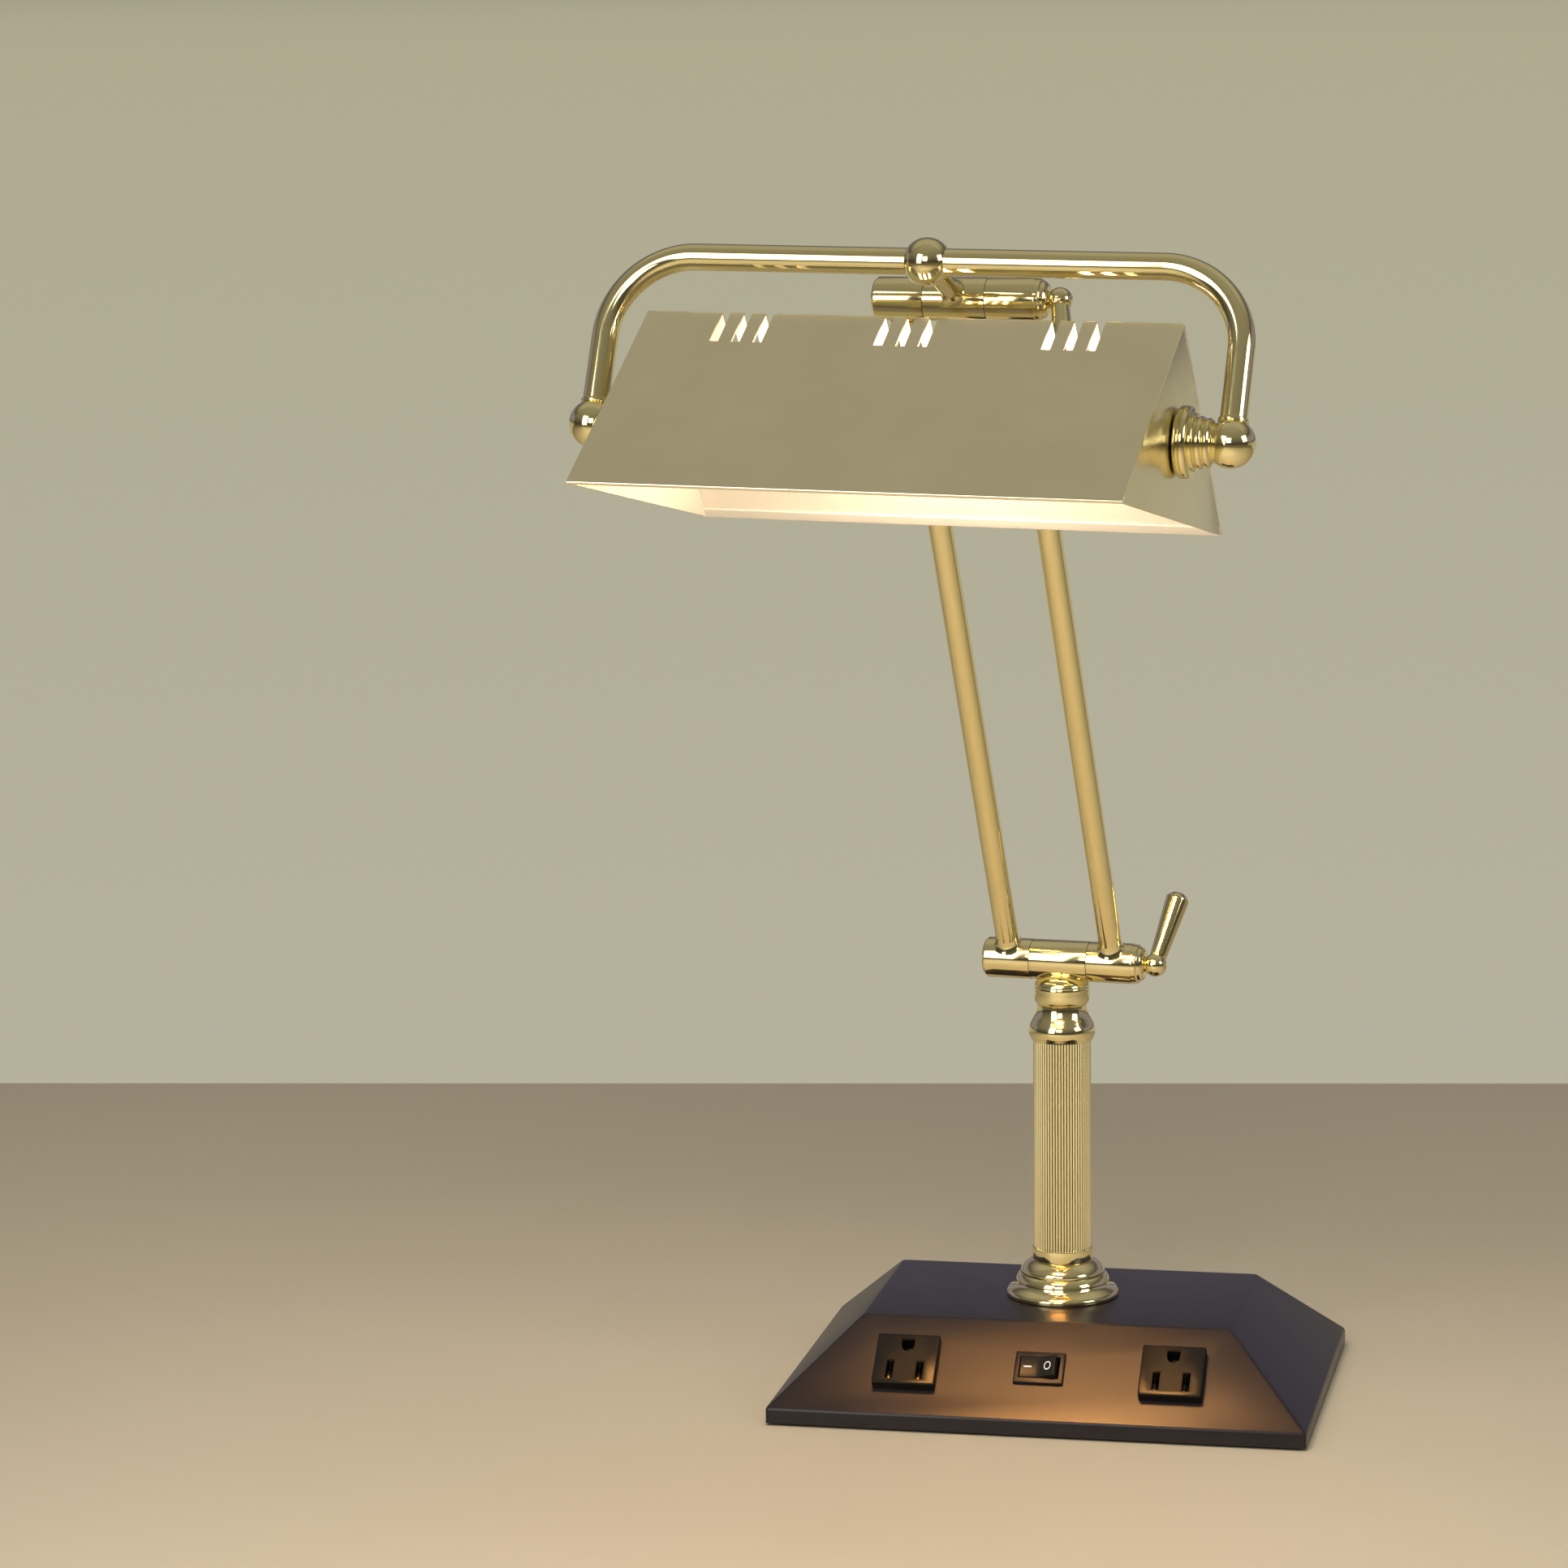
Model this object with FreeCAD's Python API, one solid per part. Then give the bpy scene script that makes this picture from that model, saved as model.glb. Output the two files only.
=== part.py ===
import FreeCAD, Part
import math
import os

# Banker desk lamp: a black folded-steel base with two outlets and a rocker switch, a reeded
# brass column, a double-rod arm between two clamped knuckles, a U-shaped yoke and a folded
# brass shade that tilts between the yoke's ends.
# Millimetres. The origin is the middle of the felt underside. +X is the lamp's right hand,
# -Y its front, +Z up. Angles are in degrees.

V = FreeCAD.Vector
Turn = FreeCAD.Rotation
Place = FreeCAD.Placement
X_AXIS = V(1, 0, 0)
Y_AXIS = V(0, 1, 0)
Z_AXIS = V(0, 0, 1)

# Base shell: a hipped box folded from sheet
BASE_LENGTH = 228.6
BASE_DEPTH = 167.6
TOP_LENGTH = 157.4
TOP_DEPTH = 93.4
LIP_TOP = 7.6
BASE_HEIGHT = 40.6
BASE_SHEET = 1.2
LIP_BOTTOM = 1.2

# Inside the base
PLATE_THICKNESS = 1.6
FELT_INSET = 5.0
WEIGHT_SIZE = (168.0, 104.0, 10.0)
WEIGHT_BACK_SHIFT = 12.0
LUG_X = 98.0
LUG_Y = 64.0
LUG_SIZE = 11.0
LUG_TOP = 18.0
SCREW_R = 2.0
SCREW_HEAD_R = 3.6
SCREW_HEAD = 0.9
SCREW_LENGTH = 9.0

# Outlets, on the front slope
OUTLET_X = 56.5
OUTLET_UP = 0.0
OUTLET_FACE = (26.8, 24.8, 5.0)
OUTLET_BODY = (23.6, 21.0, 11.0)
BLADE_SPACING = 12.7
BLADE_SLOT = (3.4, 8.4)
BLADE_UP = -5.2
GROUND_UP = 6.9
GROUND_R = 3.05
SLOT_DEPTH = 11.0
CONTACT_WALL = 0.5

# Rocker switch, between the outlets
SWITCH_UP = 0.8
SWITCH_FACE = (21.2, 15.6, 1.6)
SWITCH_BODY = (18.6, 13.0, 11.0)
ROCKER_HALF = 7.7
ROCKER_WIDTH = 10.2
ROCKER_EDGE = 3.9
ROCKER_DIP = 2.7
ROCKER_FLOOR = -1.6
ROCKER_TILT = 10.0
ROCKER_AXLE_R = 1.0
POCKET_HALF = 8.6
POCKET_WIDTH = 10.8
POCKET_DEPTH = 6.0
POCKET_PIVOT = -0.6
PIN_CLEARANCE = 0.06

# Cord bushing, on the back slope
BUSHING_X = 0.0
BUSHING_BORE = 3.4
BUSHING_BODY_R = 5.4
BUSHING_FLANGE_R = 7.4
BUSHING_FLANGE = 1.8
BUSHING_TAIL = 5.0

# Lamp pipe and its fastenings
PIPE_R = 4.8
PIPE_BORE = 3.4
PIPE_BOTTOM = 29.0
PIPE_TOP = 160.5
NUT_ACROSS = 14.0
NUT_HEIGHT = 4.0
WASHER_R = 11.0
WASHER_THICKNESS = 1.5
LEAD_R = 1.3
LEAD_SPREAD = 1.6

# Column
FOOT_R = 24.2
COLLAR_R = 13.1
COLLAR_BOTTOM = 56.4
COLLAR_TOP = 61.9
TUBE_R = 12.4
TUBE_BORE = 11.2
TUBE_BOTTOM = 58.4
TUBE_TOP = 156.0
REEDS = 60
REED_DEPTH = 0.3
CAP_BOTTOM = 153.2
CAP_TOP = 168.6
RING_TOP = 176.6
STEM_R = 5.0
STEM_CLEARANCE = 0.05

# Knuckles: one at the column, one at the yoke
HEAD_YAW = -6.34
KNUCKLE_Z = 187.5
BARREL_R = 8.7
SEAM_X = 12.55
SEAM_WASHER = 0.6
SLEEVE_END = 32.0
LEFT_CAP_END = 33.7
RIGHT_CAP_END = 36.8
BOLT_R = 4.0
BOLT_CLEARANCE = 0.05
LEVER_BALL_X = 41.1
LEVER_BALL_R = 5.0
LEVER_NECK_R = 2.8
LEVER_LENGTH = 33.4
LOWER_LEVER_WAY = V(0.194, 0.499, 0.842)
UPPER_LEVER_WAY = V(0.194, -0.550, -0.812)

# Arm
ARM_LENGTH = 329.7
ARM_LEAN = 27.6
ROD_X = 22.7
ROD_R = 5.0
ROD_BORE = 3.8

# Yoke
STUB_RISE = 22.6
STUB_LENGTH = 43.75
STUB_R = 3.9
BALL_OFFSET = -0.6
BALL_R = 9.4
YOKE_ROLL = 0.74
YOKE_LEAN = 23.6
YOKE_HALF = 126.4
YOKE_DROP = 69.1
YOKE_BEND = 33.0
YOKE_TUBE_R = 5.3
YOKE_TUBE_BORE = 4.2
FERRULE_R = 5.9
FERRULE_LENGTH = 1.5

# Shade, in its own axes: the origin is the tilt axis, +Z is towards the ridge
SHADE_LENGTH = 212.4
SHADE_PANEL = 108.7
SHADE_HALF_ANGLE = 47.6
SHADE_PIVOT = 44.7
SHADE_TILT = 10.4
SHADE_SHEET = 0.8
HEM_WIDTH = 4.8
SLOT_GROUPS = (-65.5, 0.0, 65.5)
SLOT_PITCH = 8.75
SLOT_WIDTH = 3.5
SLOT_LENGTH = 19.2

# Shade swivels and lamp holder
STUD_R = 4.0
STUD_CLEARANCE = 0.05
HUB_GAP = 0.15
NUT_R = 8.0
SWIVEL_NUT = 3.5
SPRING_R = 7.0
SPRING_THICKNESS = 0.8
HOLDER_LENGTH = 40.0
BULB_R = 15.9
BULB_CENTRE = -29.0
SCREW_SHELL_R = 12.6
SCREW_SHELL_WALL = 0.6
GLASS_WALL = 0.8


def box(size, centre):
    corner = V(centre.x - size[0] / 2, centre.y - size[1] / 2, centre.z - size[2] / 2)
    return Part.makeBox(size[0], size[1], size[2], corner)


def rod(radius, start, end):
    way = end - start
    return Part.makeCylinder(radius, way.Length, start, way)


def tube(radius, bore, start, end):
    return rod(radius, start, end).cut(rod(bore, start, end))


def lathe(profile):
    """A solid turned about Z from (radius, height) points, closed along the axis."""
    points = [V(radius, 0, height) for radius, height in profile]
    points = [V(0, 0, profile[0][1])] + points + [V(0, 0, profile[-1][1])]
    face = Part.Face(Part.makePolygon(points + points[:1]))
    return face.revolve(V(0, 0, 0), Z_AXIS, 360)


def smooth_lathe(profile):
    """As lathe, with one smooth curve through the profile's points."""
    points = [V(radius, 0, height) for radius, height in profile]
    curve = Part.BSplineCurve()
    curve.interpolate(points)
    bottom = V(0, 0, points[0].z)
    top = V(0, 0, points[-1].z)
    edges = [Part.makeLine(bottom, points[0]), curve.toShape(), Part.makeLine(points[-1], top)]
    face = Part.Face(Part.Wire(edges + [Part.makeLine(top, bottom)]))
    return face.revolve(V(0, 0, 0), Z_AXIS, 360)


def aimed(shape, origin, way):
    """A shape made along +Z, moved to stand at origin and point along way."""
    return shape.transformed(Place(origin, Turn(Z_AXIS, way)).toMatrix())


def placed(shape, placement):
    return shape.transformed(placement.toMatrix())


def hexagon(across, height, bottom):
    radius = across / math.sqrt(3)
    corners = []
    for index in range(7):
        angle = math.radians(60 * index)
        corners.append(V(radius * math.cos(angle), radius * math.sin(angle), bottom))
    return Part.Face(Part.makePolygon(corners)).extrude(V(0, 0, height))


def rectangle(length, depth, height):
    x, y = length / 2, depth / 2
    return Part.makePolygon([V(-x, -y, height), V(x, -y, height), V(x, y, height),
                             V(-x, y, height), V(-x, -y, height)])


def export(name, shape):
    shape.exportStep("parts/" + name + ".step")
    print(name, "valid" if shape.isValid() else "INVALID", len(shape.Solids), round(shape.Volume))


# ---- shared frames ----------------------------------------------------------------------

SLOPE_RUN = (BASE_DEPTH - TOP_DEPTH) / 2
SLOPE_RISE = BASE_HEIGHT - LIP_TOP
SLOPE_LENGTH = math.hypot(SLOPE_RUN, SLOPE_RISE)
SLOPE_ANGLE = math.degrees(math.atan2(SLOPE_RISE, SLOPE_RUN))
SLOPE_MID = V(0, -(BASE_DEPTH + TOP_DEPTH) / 4, (LIP_TOP + BASE_HEIGHT) / 2)
FRONT_SLOPE = Place(SLOPE_MID, Turn(X_AXIS, SLOPE_ANGLE))
BACK_SLOPE = Place(V(0, 0, 0), Turn(Z_AXIS, 180)).multiply(FRONT_SLOPE)

HEAD = Place(V(0, 0, KNUCKLE_Z), Turn(Z_AXIS, HEAD_YAW))
ARM_WAY = V(0, -math.sin(math.radians(ARM_LEAN)), math.cos(math.radians(ARM_LEAN)))
UPPER_AXIS = ARM_WAY * ARM_LENGTH
STUB_WAY = V(0, -math.cos(math.radians(STUB_RISE)), math.sin(math.radians(STUB_RISE)))
BALL_CENTRE = UPPER_AXIS + STUB_WAY * STUB_LENGTH + V(BALL_OFFSET, 0, 0)
LEG_WAY = V(0, -math.sin(math.radians(YOKE_LEAN)), -math.cos(math.radians(YOKE_LEAN)))
YOKE = HEAD.multiply(Place(BALL_CENTRE, Turn(Y_AXIS, YOKE_ROLL)))
SHADE = YOKE.multiply(Place(LEG_WAY * YOKE_DROP, Turn(X_AXIS, -SHADE_TILT)))


# ---- base -------------------------------------------------------------------------------

def hipped(length, depth, lip, top_length, top_depth, height, bottom):
    sections = [rectangle(length, depth, bottom), rectangle(length, depth, lip),
                rectangle(top_length, top_depth, height)]
    return Part.makeLoft(sections, True, True)


def base_inside():
    """The space inside the shell, its slopes one sheet thickness in from the outer ones."""
    lip = LIP_TOP - BASE_SHEET * SLOPE_LENGTH / SLOPE_RUN + BASE_SHEET * SLOPE_RISE / SLOPE_RUN
    shrink = 2 * BASE_SHEET * (SLOPE_LENGTH - SLOPE_RUN) / SLOPE_RISE
    return hipped(BASE_LENGTH - 2 * BASE_SHEET, BASE_DEPTH - 2 * BASE_SHEET, lip,
                  TOP_LENGTH - shrink, TOP_DEPTH - shrink, BASE_HEIGHT - BASE_SHEET, LIP_BOTTOM)


def base_shell():
    shell = hipped(BASE_LENGTH, BASE_DEPTH, LIP_TOP, TOP_LENGTH, TOP_DEPTH, BASE_HEIGHT, LIP_BOTTOM)
    shell = shell.cut(base_inside())
    shell = shell.cut(rod(PIPE_R, V(0, 0, PIPE_BOTTOM), V(0, 0, BASE_HEIGHT + 1)))
    for side in (-1, 1):
        hole = box((OUTLET_BODY[0], OUTLET_BODY[1], 8), V(side * OUTLET_X, OUTLET_UP, 0))
        shell = shell.cut(placed(hole, FRONT_SLOPE))
    hole = box((SWITCH_BODY[0], SWITCH_BODY[1], 8), V(0, SWITCH_UP, 0))
    shell = shell.cut(placed(hole, FRONT_SLOPE))
    hole = rod(BUSHING_BODY_R, V(BUSHING_X, 0, -4), V(BUSHING_X, 0, 4))
    return shell.cut(placed(hole, BACK_SLOPE))


def lug_places():
    return [V(x, y, 0) for x in (-LUG_X, LUG_X) for y in (-LUG_Y, LUG_Y)]


def base_plate():
    plate = box((BASE_LENGTH - 2 * BASE_SHEET, BASE_DEPTH - 2 * BASE_SHEET, PLATE_THICKNESS),
                V(0, 0, LIP_BOTTOM + PLATE_THICKNESS / 2))
    for spot in lug_places():
        plate = plate.cut(rod(SCREW_R, spot, spot + V(0, 0, 5)))
        plate = plate.cut(rod(SCREW_HEAD_R, spot, spot + V(0, 0, LIP_BOTTOM + SCREW_HEAD)))
    return plate


def shell_lugs():
    inside = base_inside()
    bottom = LIP_BOTTOM + PLATE_THICKNESS
    lugs = []
    for spot in lug_places():
        lug = box((LUG_SIZE, LUG_SIZE, LUG_TOP - bottom), spot + V(0, 0, (LUG_TOP + bottom) / 2))
        lug = lug.common(inside)
        lugs.append(lug.cut(rod(SCREW_R, spot, spot + V(0, 0, SCREW_LENGTH + 2))))
    return Part.makeCompound(lugs)


def base_screws():
    screws = []
    for spot in lug_places():
        head = rod(SCREW_HEAD_R, spot + V(0, 0, LIP_BOTTOM), spot + V(0, 0, LIP_BOTTOM + SCREW_HEAD))
        shank = rod(SCREW_R, spot + V(0, 0, LIP_BOTTOM), spot + V(0, 0, SCREW_LENGTH))
        screws.append(head.fuse(shank).removeSplitter())
    return Part.makeCompound(screws)


def felt_pad():
    size = (BASE_LENGTH - 2 * FELT_INSET, BASE_DEPTH - 2 * FELT_INSET, LIP_BOTTOM)
    return box(size, V(0, 0, LIP_BOTTOM / 2))


def counterweight():
    bottom = LIP_BOTTOM + PLATE_THICKNESS
    slab = box(WEIGHT_SIZE, V(0, WEIGHT_BACK_SHIFT, bottom + WEIGHT_SIZE[2] / 2))
    upright = [edge for edge in slab.Edges if abs(edge.tangentAt(0).z) > 0.9]
    return slab.makeFillet(6.0, upright)


# ---- outlets and switch -----------------------------------------------------------------

def outlet(side):
    """A snap-in three-hole outlet: chamfered face, body behind, two blade slots, earth hole."""
    middle = V(side * OUTLET_X, OUTLET_UP, 0)
    face = box(OUTLET_FACE, middle + V(0, 0, OUTLET_FACE[2] / 2))
    rim = [edge for edge in face.Edges if abs(edge.CenterOfMass.z - OUTLET_FACE[2]) < 0.01]
    face = face.makeChamfer(0.6, rim)
    body = box(OUTLET_BODY, middle - V(0, 0, OUTLET_BODY[2] / 2))
    solid = face.fuse(body).removeSplitter()
    for cutter in outlet_slots(middle):
        solid = solid.cut(cutter)
    return placed(solid, FRONT_SLOPE)


def outlet_slots(middle):
    depth = SLOT_DEPTH + 1
    level = OUTLET_FACE[2] + 1 - depth / 2
    cutters = []
    for step in (-0.5, 0.5):
        place = middle + V(step * BLADE_SPACING, BLADE_UP, level)
        cutters.append(box((BLADE_SLOT[0], BLADE_SLOT[1], depth), place))
    centre = middle + V(0, GROUND_UP, level - depth / 2)
    round_part = rod(GROUND_R, centre, centre + V(0, 0, depth))
    flat_part = box((2 * GROUND_R, GROUND_R, depth), middle + V(0, GROUND_UP + GROUND_R / 2, level))
    cutters.append(round_part.fuse(flat_part).removeSplitter())
    return cutters


def outlet_contacts(side):
    """Brass strips, one each side of a blade slot, and a strip over the earth hole."""
    middle = V(side * OUTLET_X, OUTLET_UP, 0)
    level = OUTLET_FACE[2] - SLOT_DEPTH + 1.5
    strips = []
    for step in (-0.5, 0.5):
        for wall in (-1, 1):
            inset = wall * (BLADE_SLOT[0] / 2 - CONTACT_WALL / 2)
            place = middle + V(step * BLADE_SPACING + inset, BLADE_UP, level)
            strips.append(box((CONTACT_WALL, BLADE_SLOT[1] - 1, 3.0), place))
    place = middle + V(0, GROUND_UP + GROUND_R - CONTACT_WALL / 2, level)
    strips.append(box((GROUND_R, CONTACT_WALL, 3.0), place))
    return placed(Part.makeCompound(strips), FRONT_SLOPE)


def switch_frame():
    middle = V(0, SWITCH_UP, 0)
    face = box(SWITCH_FACE, middle + V(0, 0, SWITCH_FACE[2] / 2))
    rim = [edge for edge in face.Edges if abs(edge.CenterOfMass.z - SWITCH_FACE[2]) < 0.01]
    face = face.makeChamfer(0.5, rim)
    body = box(SWITCH_BODY, middle - V(0, 0, SWITCH_BODY[2] / 2))
    pocket = box((2 * POCKET_HALF, POCKET_WIDTH, POCKET_DEPTH + SWITCH_FACE[2] + 1),
                 middle + V(0, 0, (SWITCH_FACE[2] + 1 - POCKET_DEPTH) / 2))
    reach = POCKET_WIDTH / 2 + 0.9
    pivot = middle + V(0, 0, POCKET_PIVOT)
    bore = rod(ROCKER_AXLE_R + PIN_CLEARANCE, pivot - V(0, reach, 0), pivot + V(0, reach, 0))
    return placed(face.fuse(body).removeSplitter().cut(pocket).cut(bore), FRONT_SLOPE)


def switch_rocker():
    """A hollow-topped rocker, its left half pressed in."""
    half = ROCKER_WIDTH / 2
    outline = [(-ROCKER_HALF, ROCKER_FLOOR), (ROCKER_HALF, ROCKER_FLOOR), (ROCKER_HALF, ROCKER_EDGE),
               (0, ROCKER_DIP), (-ROCKER_HALF, ROCKER_EDGE), (-ROCKER_HALF, ROCKER_FLOOR)]
    face = Part.Face(Part.makePolygon([V(x, -half, z) for x, z in outline]))
    body = face.extrude(V(0, ROCKER_WIDTH, 0))
    reach = POCKET_WIDTH / 2 + 0.7
    axle = rod(ROCKER_AXLE_R, V(0, -reach, 0), V(0, reach, 0))
    pivot = V(0, SWITCH_UP, POCKET_PIVOT)
    solid = placed(body.fuse(axle).removeSplitter(), Place(pivot, Turn(Y_AXIS, -ROCKER_TILT)))
    return placed(solid, FRONT_SLOPE)


def cord_bushing():
    profile = [(BUSHING_BODY_R, -BUSHING_TAIL), (BUSHING_BODY_R, 0), (BUSHING_FLANGE_R, 0),
               (BUSHING_FLANGE_R, BUSHING_FLANGE - 0.6), (BUSHING_FLANGE_R - 0.6, BUSHING_FLANGE)]
    body = lathe(profile)
    body = body.cut(rod(BUSHING_BORE, V(0, 0, -BUSHING_TAIL - 1), V(0, 0, BUSHING_FLANGE + 1)))
    return placed(placed(body, Place(V(BUSHING_X, 0, 0), Turn())), BACK_SLOPE)


def wire_connectors():
    """Three cone-shaped wire nuts lying on the counterweight."""
    top = LIP_BOTTOM + PLATE_THICKNESS + WEIGHT_SIZE[2]
    cones = []
    for step in (-1, 0, 1):
        cone = Part.makeCone(4.5, 2.8, 14.0)
        cones.append(aimed(cone, V(30 + 12 * step, 20, top + 4.6), Y_AXIS))
    return Part.makeCompound(cones)


# ---- pipe and column --------------------------------------------------------------------

def lamp_pipe():
    return tube(PIPE_R, PIPE_BORE, V(0, 0, PIPE_BOTTOM), V(0, 0, PIPE_TOP))


def pipe_washer():
    top = BASE_HEIGHT - BASE_SHEET
    return tube(WASHER_R, PIPE_R, V(0, 0, top - WASHER_THICKNESS), V(0, 0, top))


def pipe_nut():
    bottom = BASE_HEIGHT - BASE_SHEET - WASHER_THICKNESS - NUT_HEIGHT
    nut = hexagon(NUT_ACROSS, NUT_HEIGHT, bottom)
    return nut.cut(rod(PIPE_R, V(0, 0, bottom - 1), V(0, 0, bottom + NUT_HEIGHT + 1)))


def column_leads():
    leads = []
    for side in (-1, 1):
        foot = V(side * LEAD_SPREAD, 0, PIPE_BOTTOM + 1)
        leads.append(rod(LEAD_R, foot, V(foot.x, 0, PIPE_TOP - 1)))
    return Part.makeCompound(leads)


def column_foot():
    """A spun foot: a flared rim and two rounded steps up to the collar."""
    base = BASE_HEIGHT
    profile = [(FOOT_R - 0.5, base), (FOOT_R, base + 0.6), (FOOT_R, base + 1.8), (23.5, base + 2.9),
               (21.6, base + 4.0), (20.4, base + 5.2), (19.9, base + 6.3), (20.0, base + 6.6),
               (19.6, base + 8.0), (18.9, base + 9.2), (18.1, base + 9.9), (18.1, base + 10.4),
               (17.9, base + 11.4), (17.1, base + 12.8), (15.8, base + 14.2), (14.2, base + 15.3),
               (COLLAR_R, COLLAR_BOTTOM)]
    outside = lathe(profile)
    hollow = [(22.6, base), (19.4, base + 4.0), (18.6, base + 7.0), (16.6, base + 9.8),
              (15.4, base + 12.0), (TUBE_BORE, base + 13.8)]
    return outside.cut(lathe(hollow)).cut(rod(PIPE_R, V(0, 0, base), V(0, 0, COLLAR_TOP)))


def column_collar():
    profile = [(COLLAR_R, COLLAR_BOTTOM), (COLLAR_R, COLLAR_TOP - 0.5), (COLLAR_R - 0.5, COLLAR_TOP)]
    ring = lathe(profile)
    ring = ring.cut(rod(TUBE_R, V(0, 0, TUBE_BOTTOM), V(0, 0, COLLAR_TOP + 1)))
    return ring.cut(rod(TUBE_BORE, V(0, 0, COLLAR_BOTTOM - 1), V(0, 0, COLLAR_TOP)))


def column_tube():
    """The reeded tube: a star-shaped outline with plain ends inside the collar and cap."""
    corners = []
    for index in range(2 * REEDS):
        radius = TUBE_R - REED_DEPTH * (index % 2)
        angle = math.pi * index / REEDS
        corners.append(V(radius * math.cos(angle), radius * math.sin(angle), TUBE_BOTTOM))
    body = Part.Face(Part.makePolygon(corners + corners[:1])).extrude(V(0, 0, TUBE_TOP - TUBE_BOTTOM))
    return body.cut(rod(TUBE_BORE, V(0, 0, TUBE_BOTTOM - 1), V(0, 0, TUBE_TOP + 1)))


def column_cap():
    """A turned cap: bulging bottom bead, waisted neck; the pipe screws into its web."""
    profile = [(13.0, CAP_BOTTOM), (13.5, CAP_BOTTOM + 1.0), (14.2, CAP_BOTTOM + 2.6),
               (14.4, CAP_BOTTOM + 4.4), (14.0, CAP_BOTTOM + 6.4), (12.9, CAP_BOTTOM + 8.6),
               (11.7, CAP_BOTTOM + 10.9), (10.9, CAP_BOTTOM + 13.2), (10.6, CAP_TOP)]
    cap = smooth_lathe(profile)
    cap = cap.cut(rod(TUBE_R, V(0, 0, CAP_BOTTOM - 1), V(0, 0, TUBE_TOP)))
    cap = cap.cut(rod(PIPE_R, V(0, 0, TUBE_TOP), V(0, 0, PIPE_TOP)))
    return cap.cut(rod(8.5, V(0, 0, PIPE_TOP), V(0, 0, CAP_TOP + 1)))


def swivel_ring():
    """The ring screwed on the cap; the head's stem turns in its bore."""
    profile = [(10.4, CAP_TOP), (11.2, CAP_TOP + 0.9), (11.8, CAP_TOP + 2.2), (11.9, CAP_TOP + 4.0),
               (12.0, CAP_TOP + 6.0), (12.0, CAP_TOP + 7.2), (11.8, RING_TOP)]
    ring = smooth_lathe(profile)
    return ring.cut(rod(STEM_R + STEM_CLEARANCE, V(0, 0, CAP_TOP - 1), V(0, 0, RING_TOP + 1)))


# ---- head: what turns on the column -----------------------------------------------------

def on_barrel(shape, centre):
    """A shape made along +Z about a knuckle's axis, laid along that knuckle."""
    return placed(aimed(shape, centre, X_AXIS), HEAD)


def barrel_solid(centre):
    return rod(BARREL_R, centre - V(SLEEVE_END, 0, 0), centre + V(SLEEVE_END, 0, 0))


def swivel_saddle():
    """A domed washer, hollowed on top to seat the lower knuckle."""
    rise = RING_TOP - KNUCKLE_Z
    profile = [(11.8, rise), (11.6, rise + 0.8), (10.6, rise + 2.2), (8.6, rise + 3.6), (6.4, rise + 4.4)]
    dome = lathe(profile).cut(barrel_solid(V(0, 0, 0)))
    return placed(dome.cut(rod(STEM_R, V(0, 0, rise - 1), V(0, 0, 0))), HEAD)


def swivel_stem():
    """The threaded stub under the lower knuckle, with the turned-over nut that retains it."""
    top = -BARREL_R + 0.6
    stem = rod(STEM_R, V(0, 0, PIPE_TOP + 3.0 - KNUCKLE_Z), V(0, 0, top)).cut(barrel_solid(V(0, 0, 0)))
    stem = stem.cut(rod(PIPE_BORE, V(0, 0, PIPE_TOP - KNUCKLE_Z), V(0, 0, top)))
    return placed(stem, HEAD)


def swivel_nut():
    top = CAP_TOP - 0.1 - KNUCKLE_Z
    nut = hexagon(NUT_ACROSS, 3.2, top - 3.2)
    return placed(nut.cut(rod(STEM_R, V(0, 0, top - 5), V(0, 0, top + 1))), HEAD)


def centre_sleeve(centre):
    half = SEAM_X - SEAM_WASHER / 2
    sleeve = tube(BARREL_R, BOLT_R + BOLT_CLEARANCE, V(0, 0, -half), V(0, 0, half))
    return on_barrel(sleeve, centre)


# ---- arms -------------------------------------------------------------------------------

def side_sleeve(centre, side):
    start = SEAM_X + SEAM_WASHER / 2
    sleeve = tube(BARREL_R, BOLT_R, V(0, 0, side * start), V(0, 0, side * SLEEVE_END))
    return on_barrel(sleeve, centre)


def seam_washers(centre):
    washers = []
    for side in (-1, 1):
        start = V(0, 0, side * SEAM_X - SEAM_WASHER / 2)
        washers.append(tube(BARREL_R - 0.35, BOLT_R + BOLT_CLEARANCE, start, start + V(0, 0, SEAM_WASHER)))
    return on_barrel(Part.makeCompound(washers), centre)


def clamp_bolt(centre):
    return on_barrel(rod(BOLT_R, V(0, 0, -SLEEVE_END), V(0, 0, SLEEVE_END)), centre)


def left_end_cap(centre):
    profile = [(7.2, -LEFT_CAP_END), (8.3, -SLEEVE_END - 0.6), (8.3, -SLEEVE_END)]
    return on_barrel(lathe(profile), centre)


def right_end_cap(centre):
    """The stepped cap the clamping lever bears on; the lever's screw passes its middle."""
    profile = [(8.3, SLEEVE_END), (8.3, SLEEVE_END + 2.0), (7.5, SLEEVE_END + 2.4),
               (7.1, SLEEVE_END + 3.6), (5.8, RIGHT_CAP_END)]
    cap = lathe(profile)
    bore = rod(LEVER_NECK_R + PIN_CLEARANCE, V(0, 0, SLEEVE_END - 1), V(0, 0, RIGHT_CAP_END + 1))
    return on_barrel(cap.cut(bore), centre)


def arm_rod(side):
    start = V(side * ROD_X, 0, 0)
    bar = tube(ROD_R, ROD_BORE, start, start + UPPER_AXIS)
    return placed(bar.cut(barrel_solid(V(0, 0, 0))).cut(barrel_solid(UPPER_AXIS)), HEAD)


# ---- clamping levers --------------------------------------------------------------------

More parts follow.
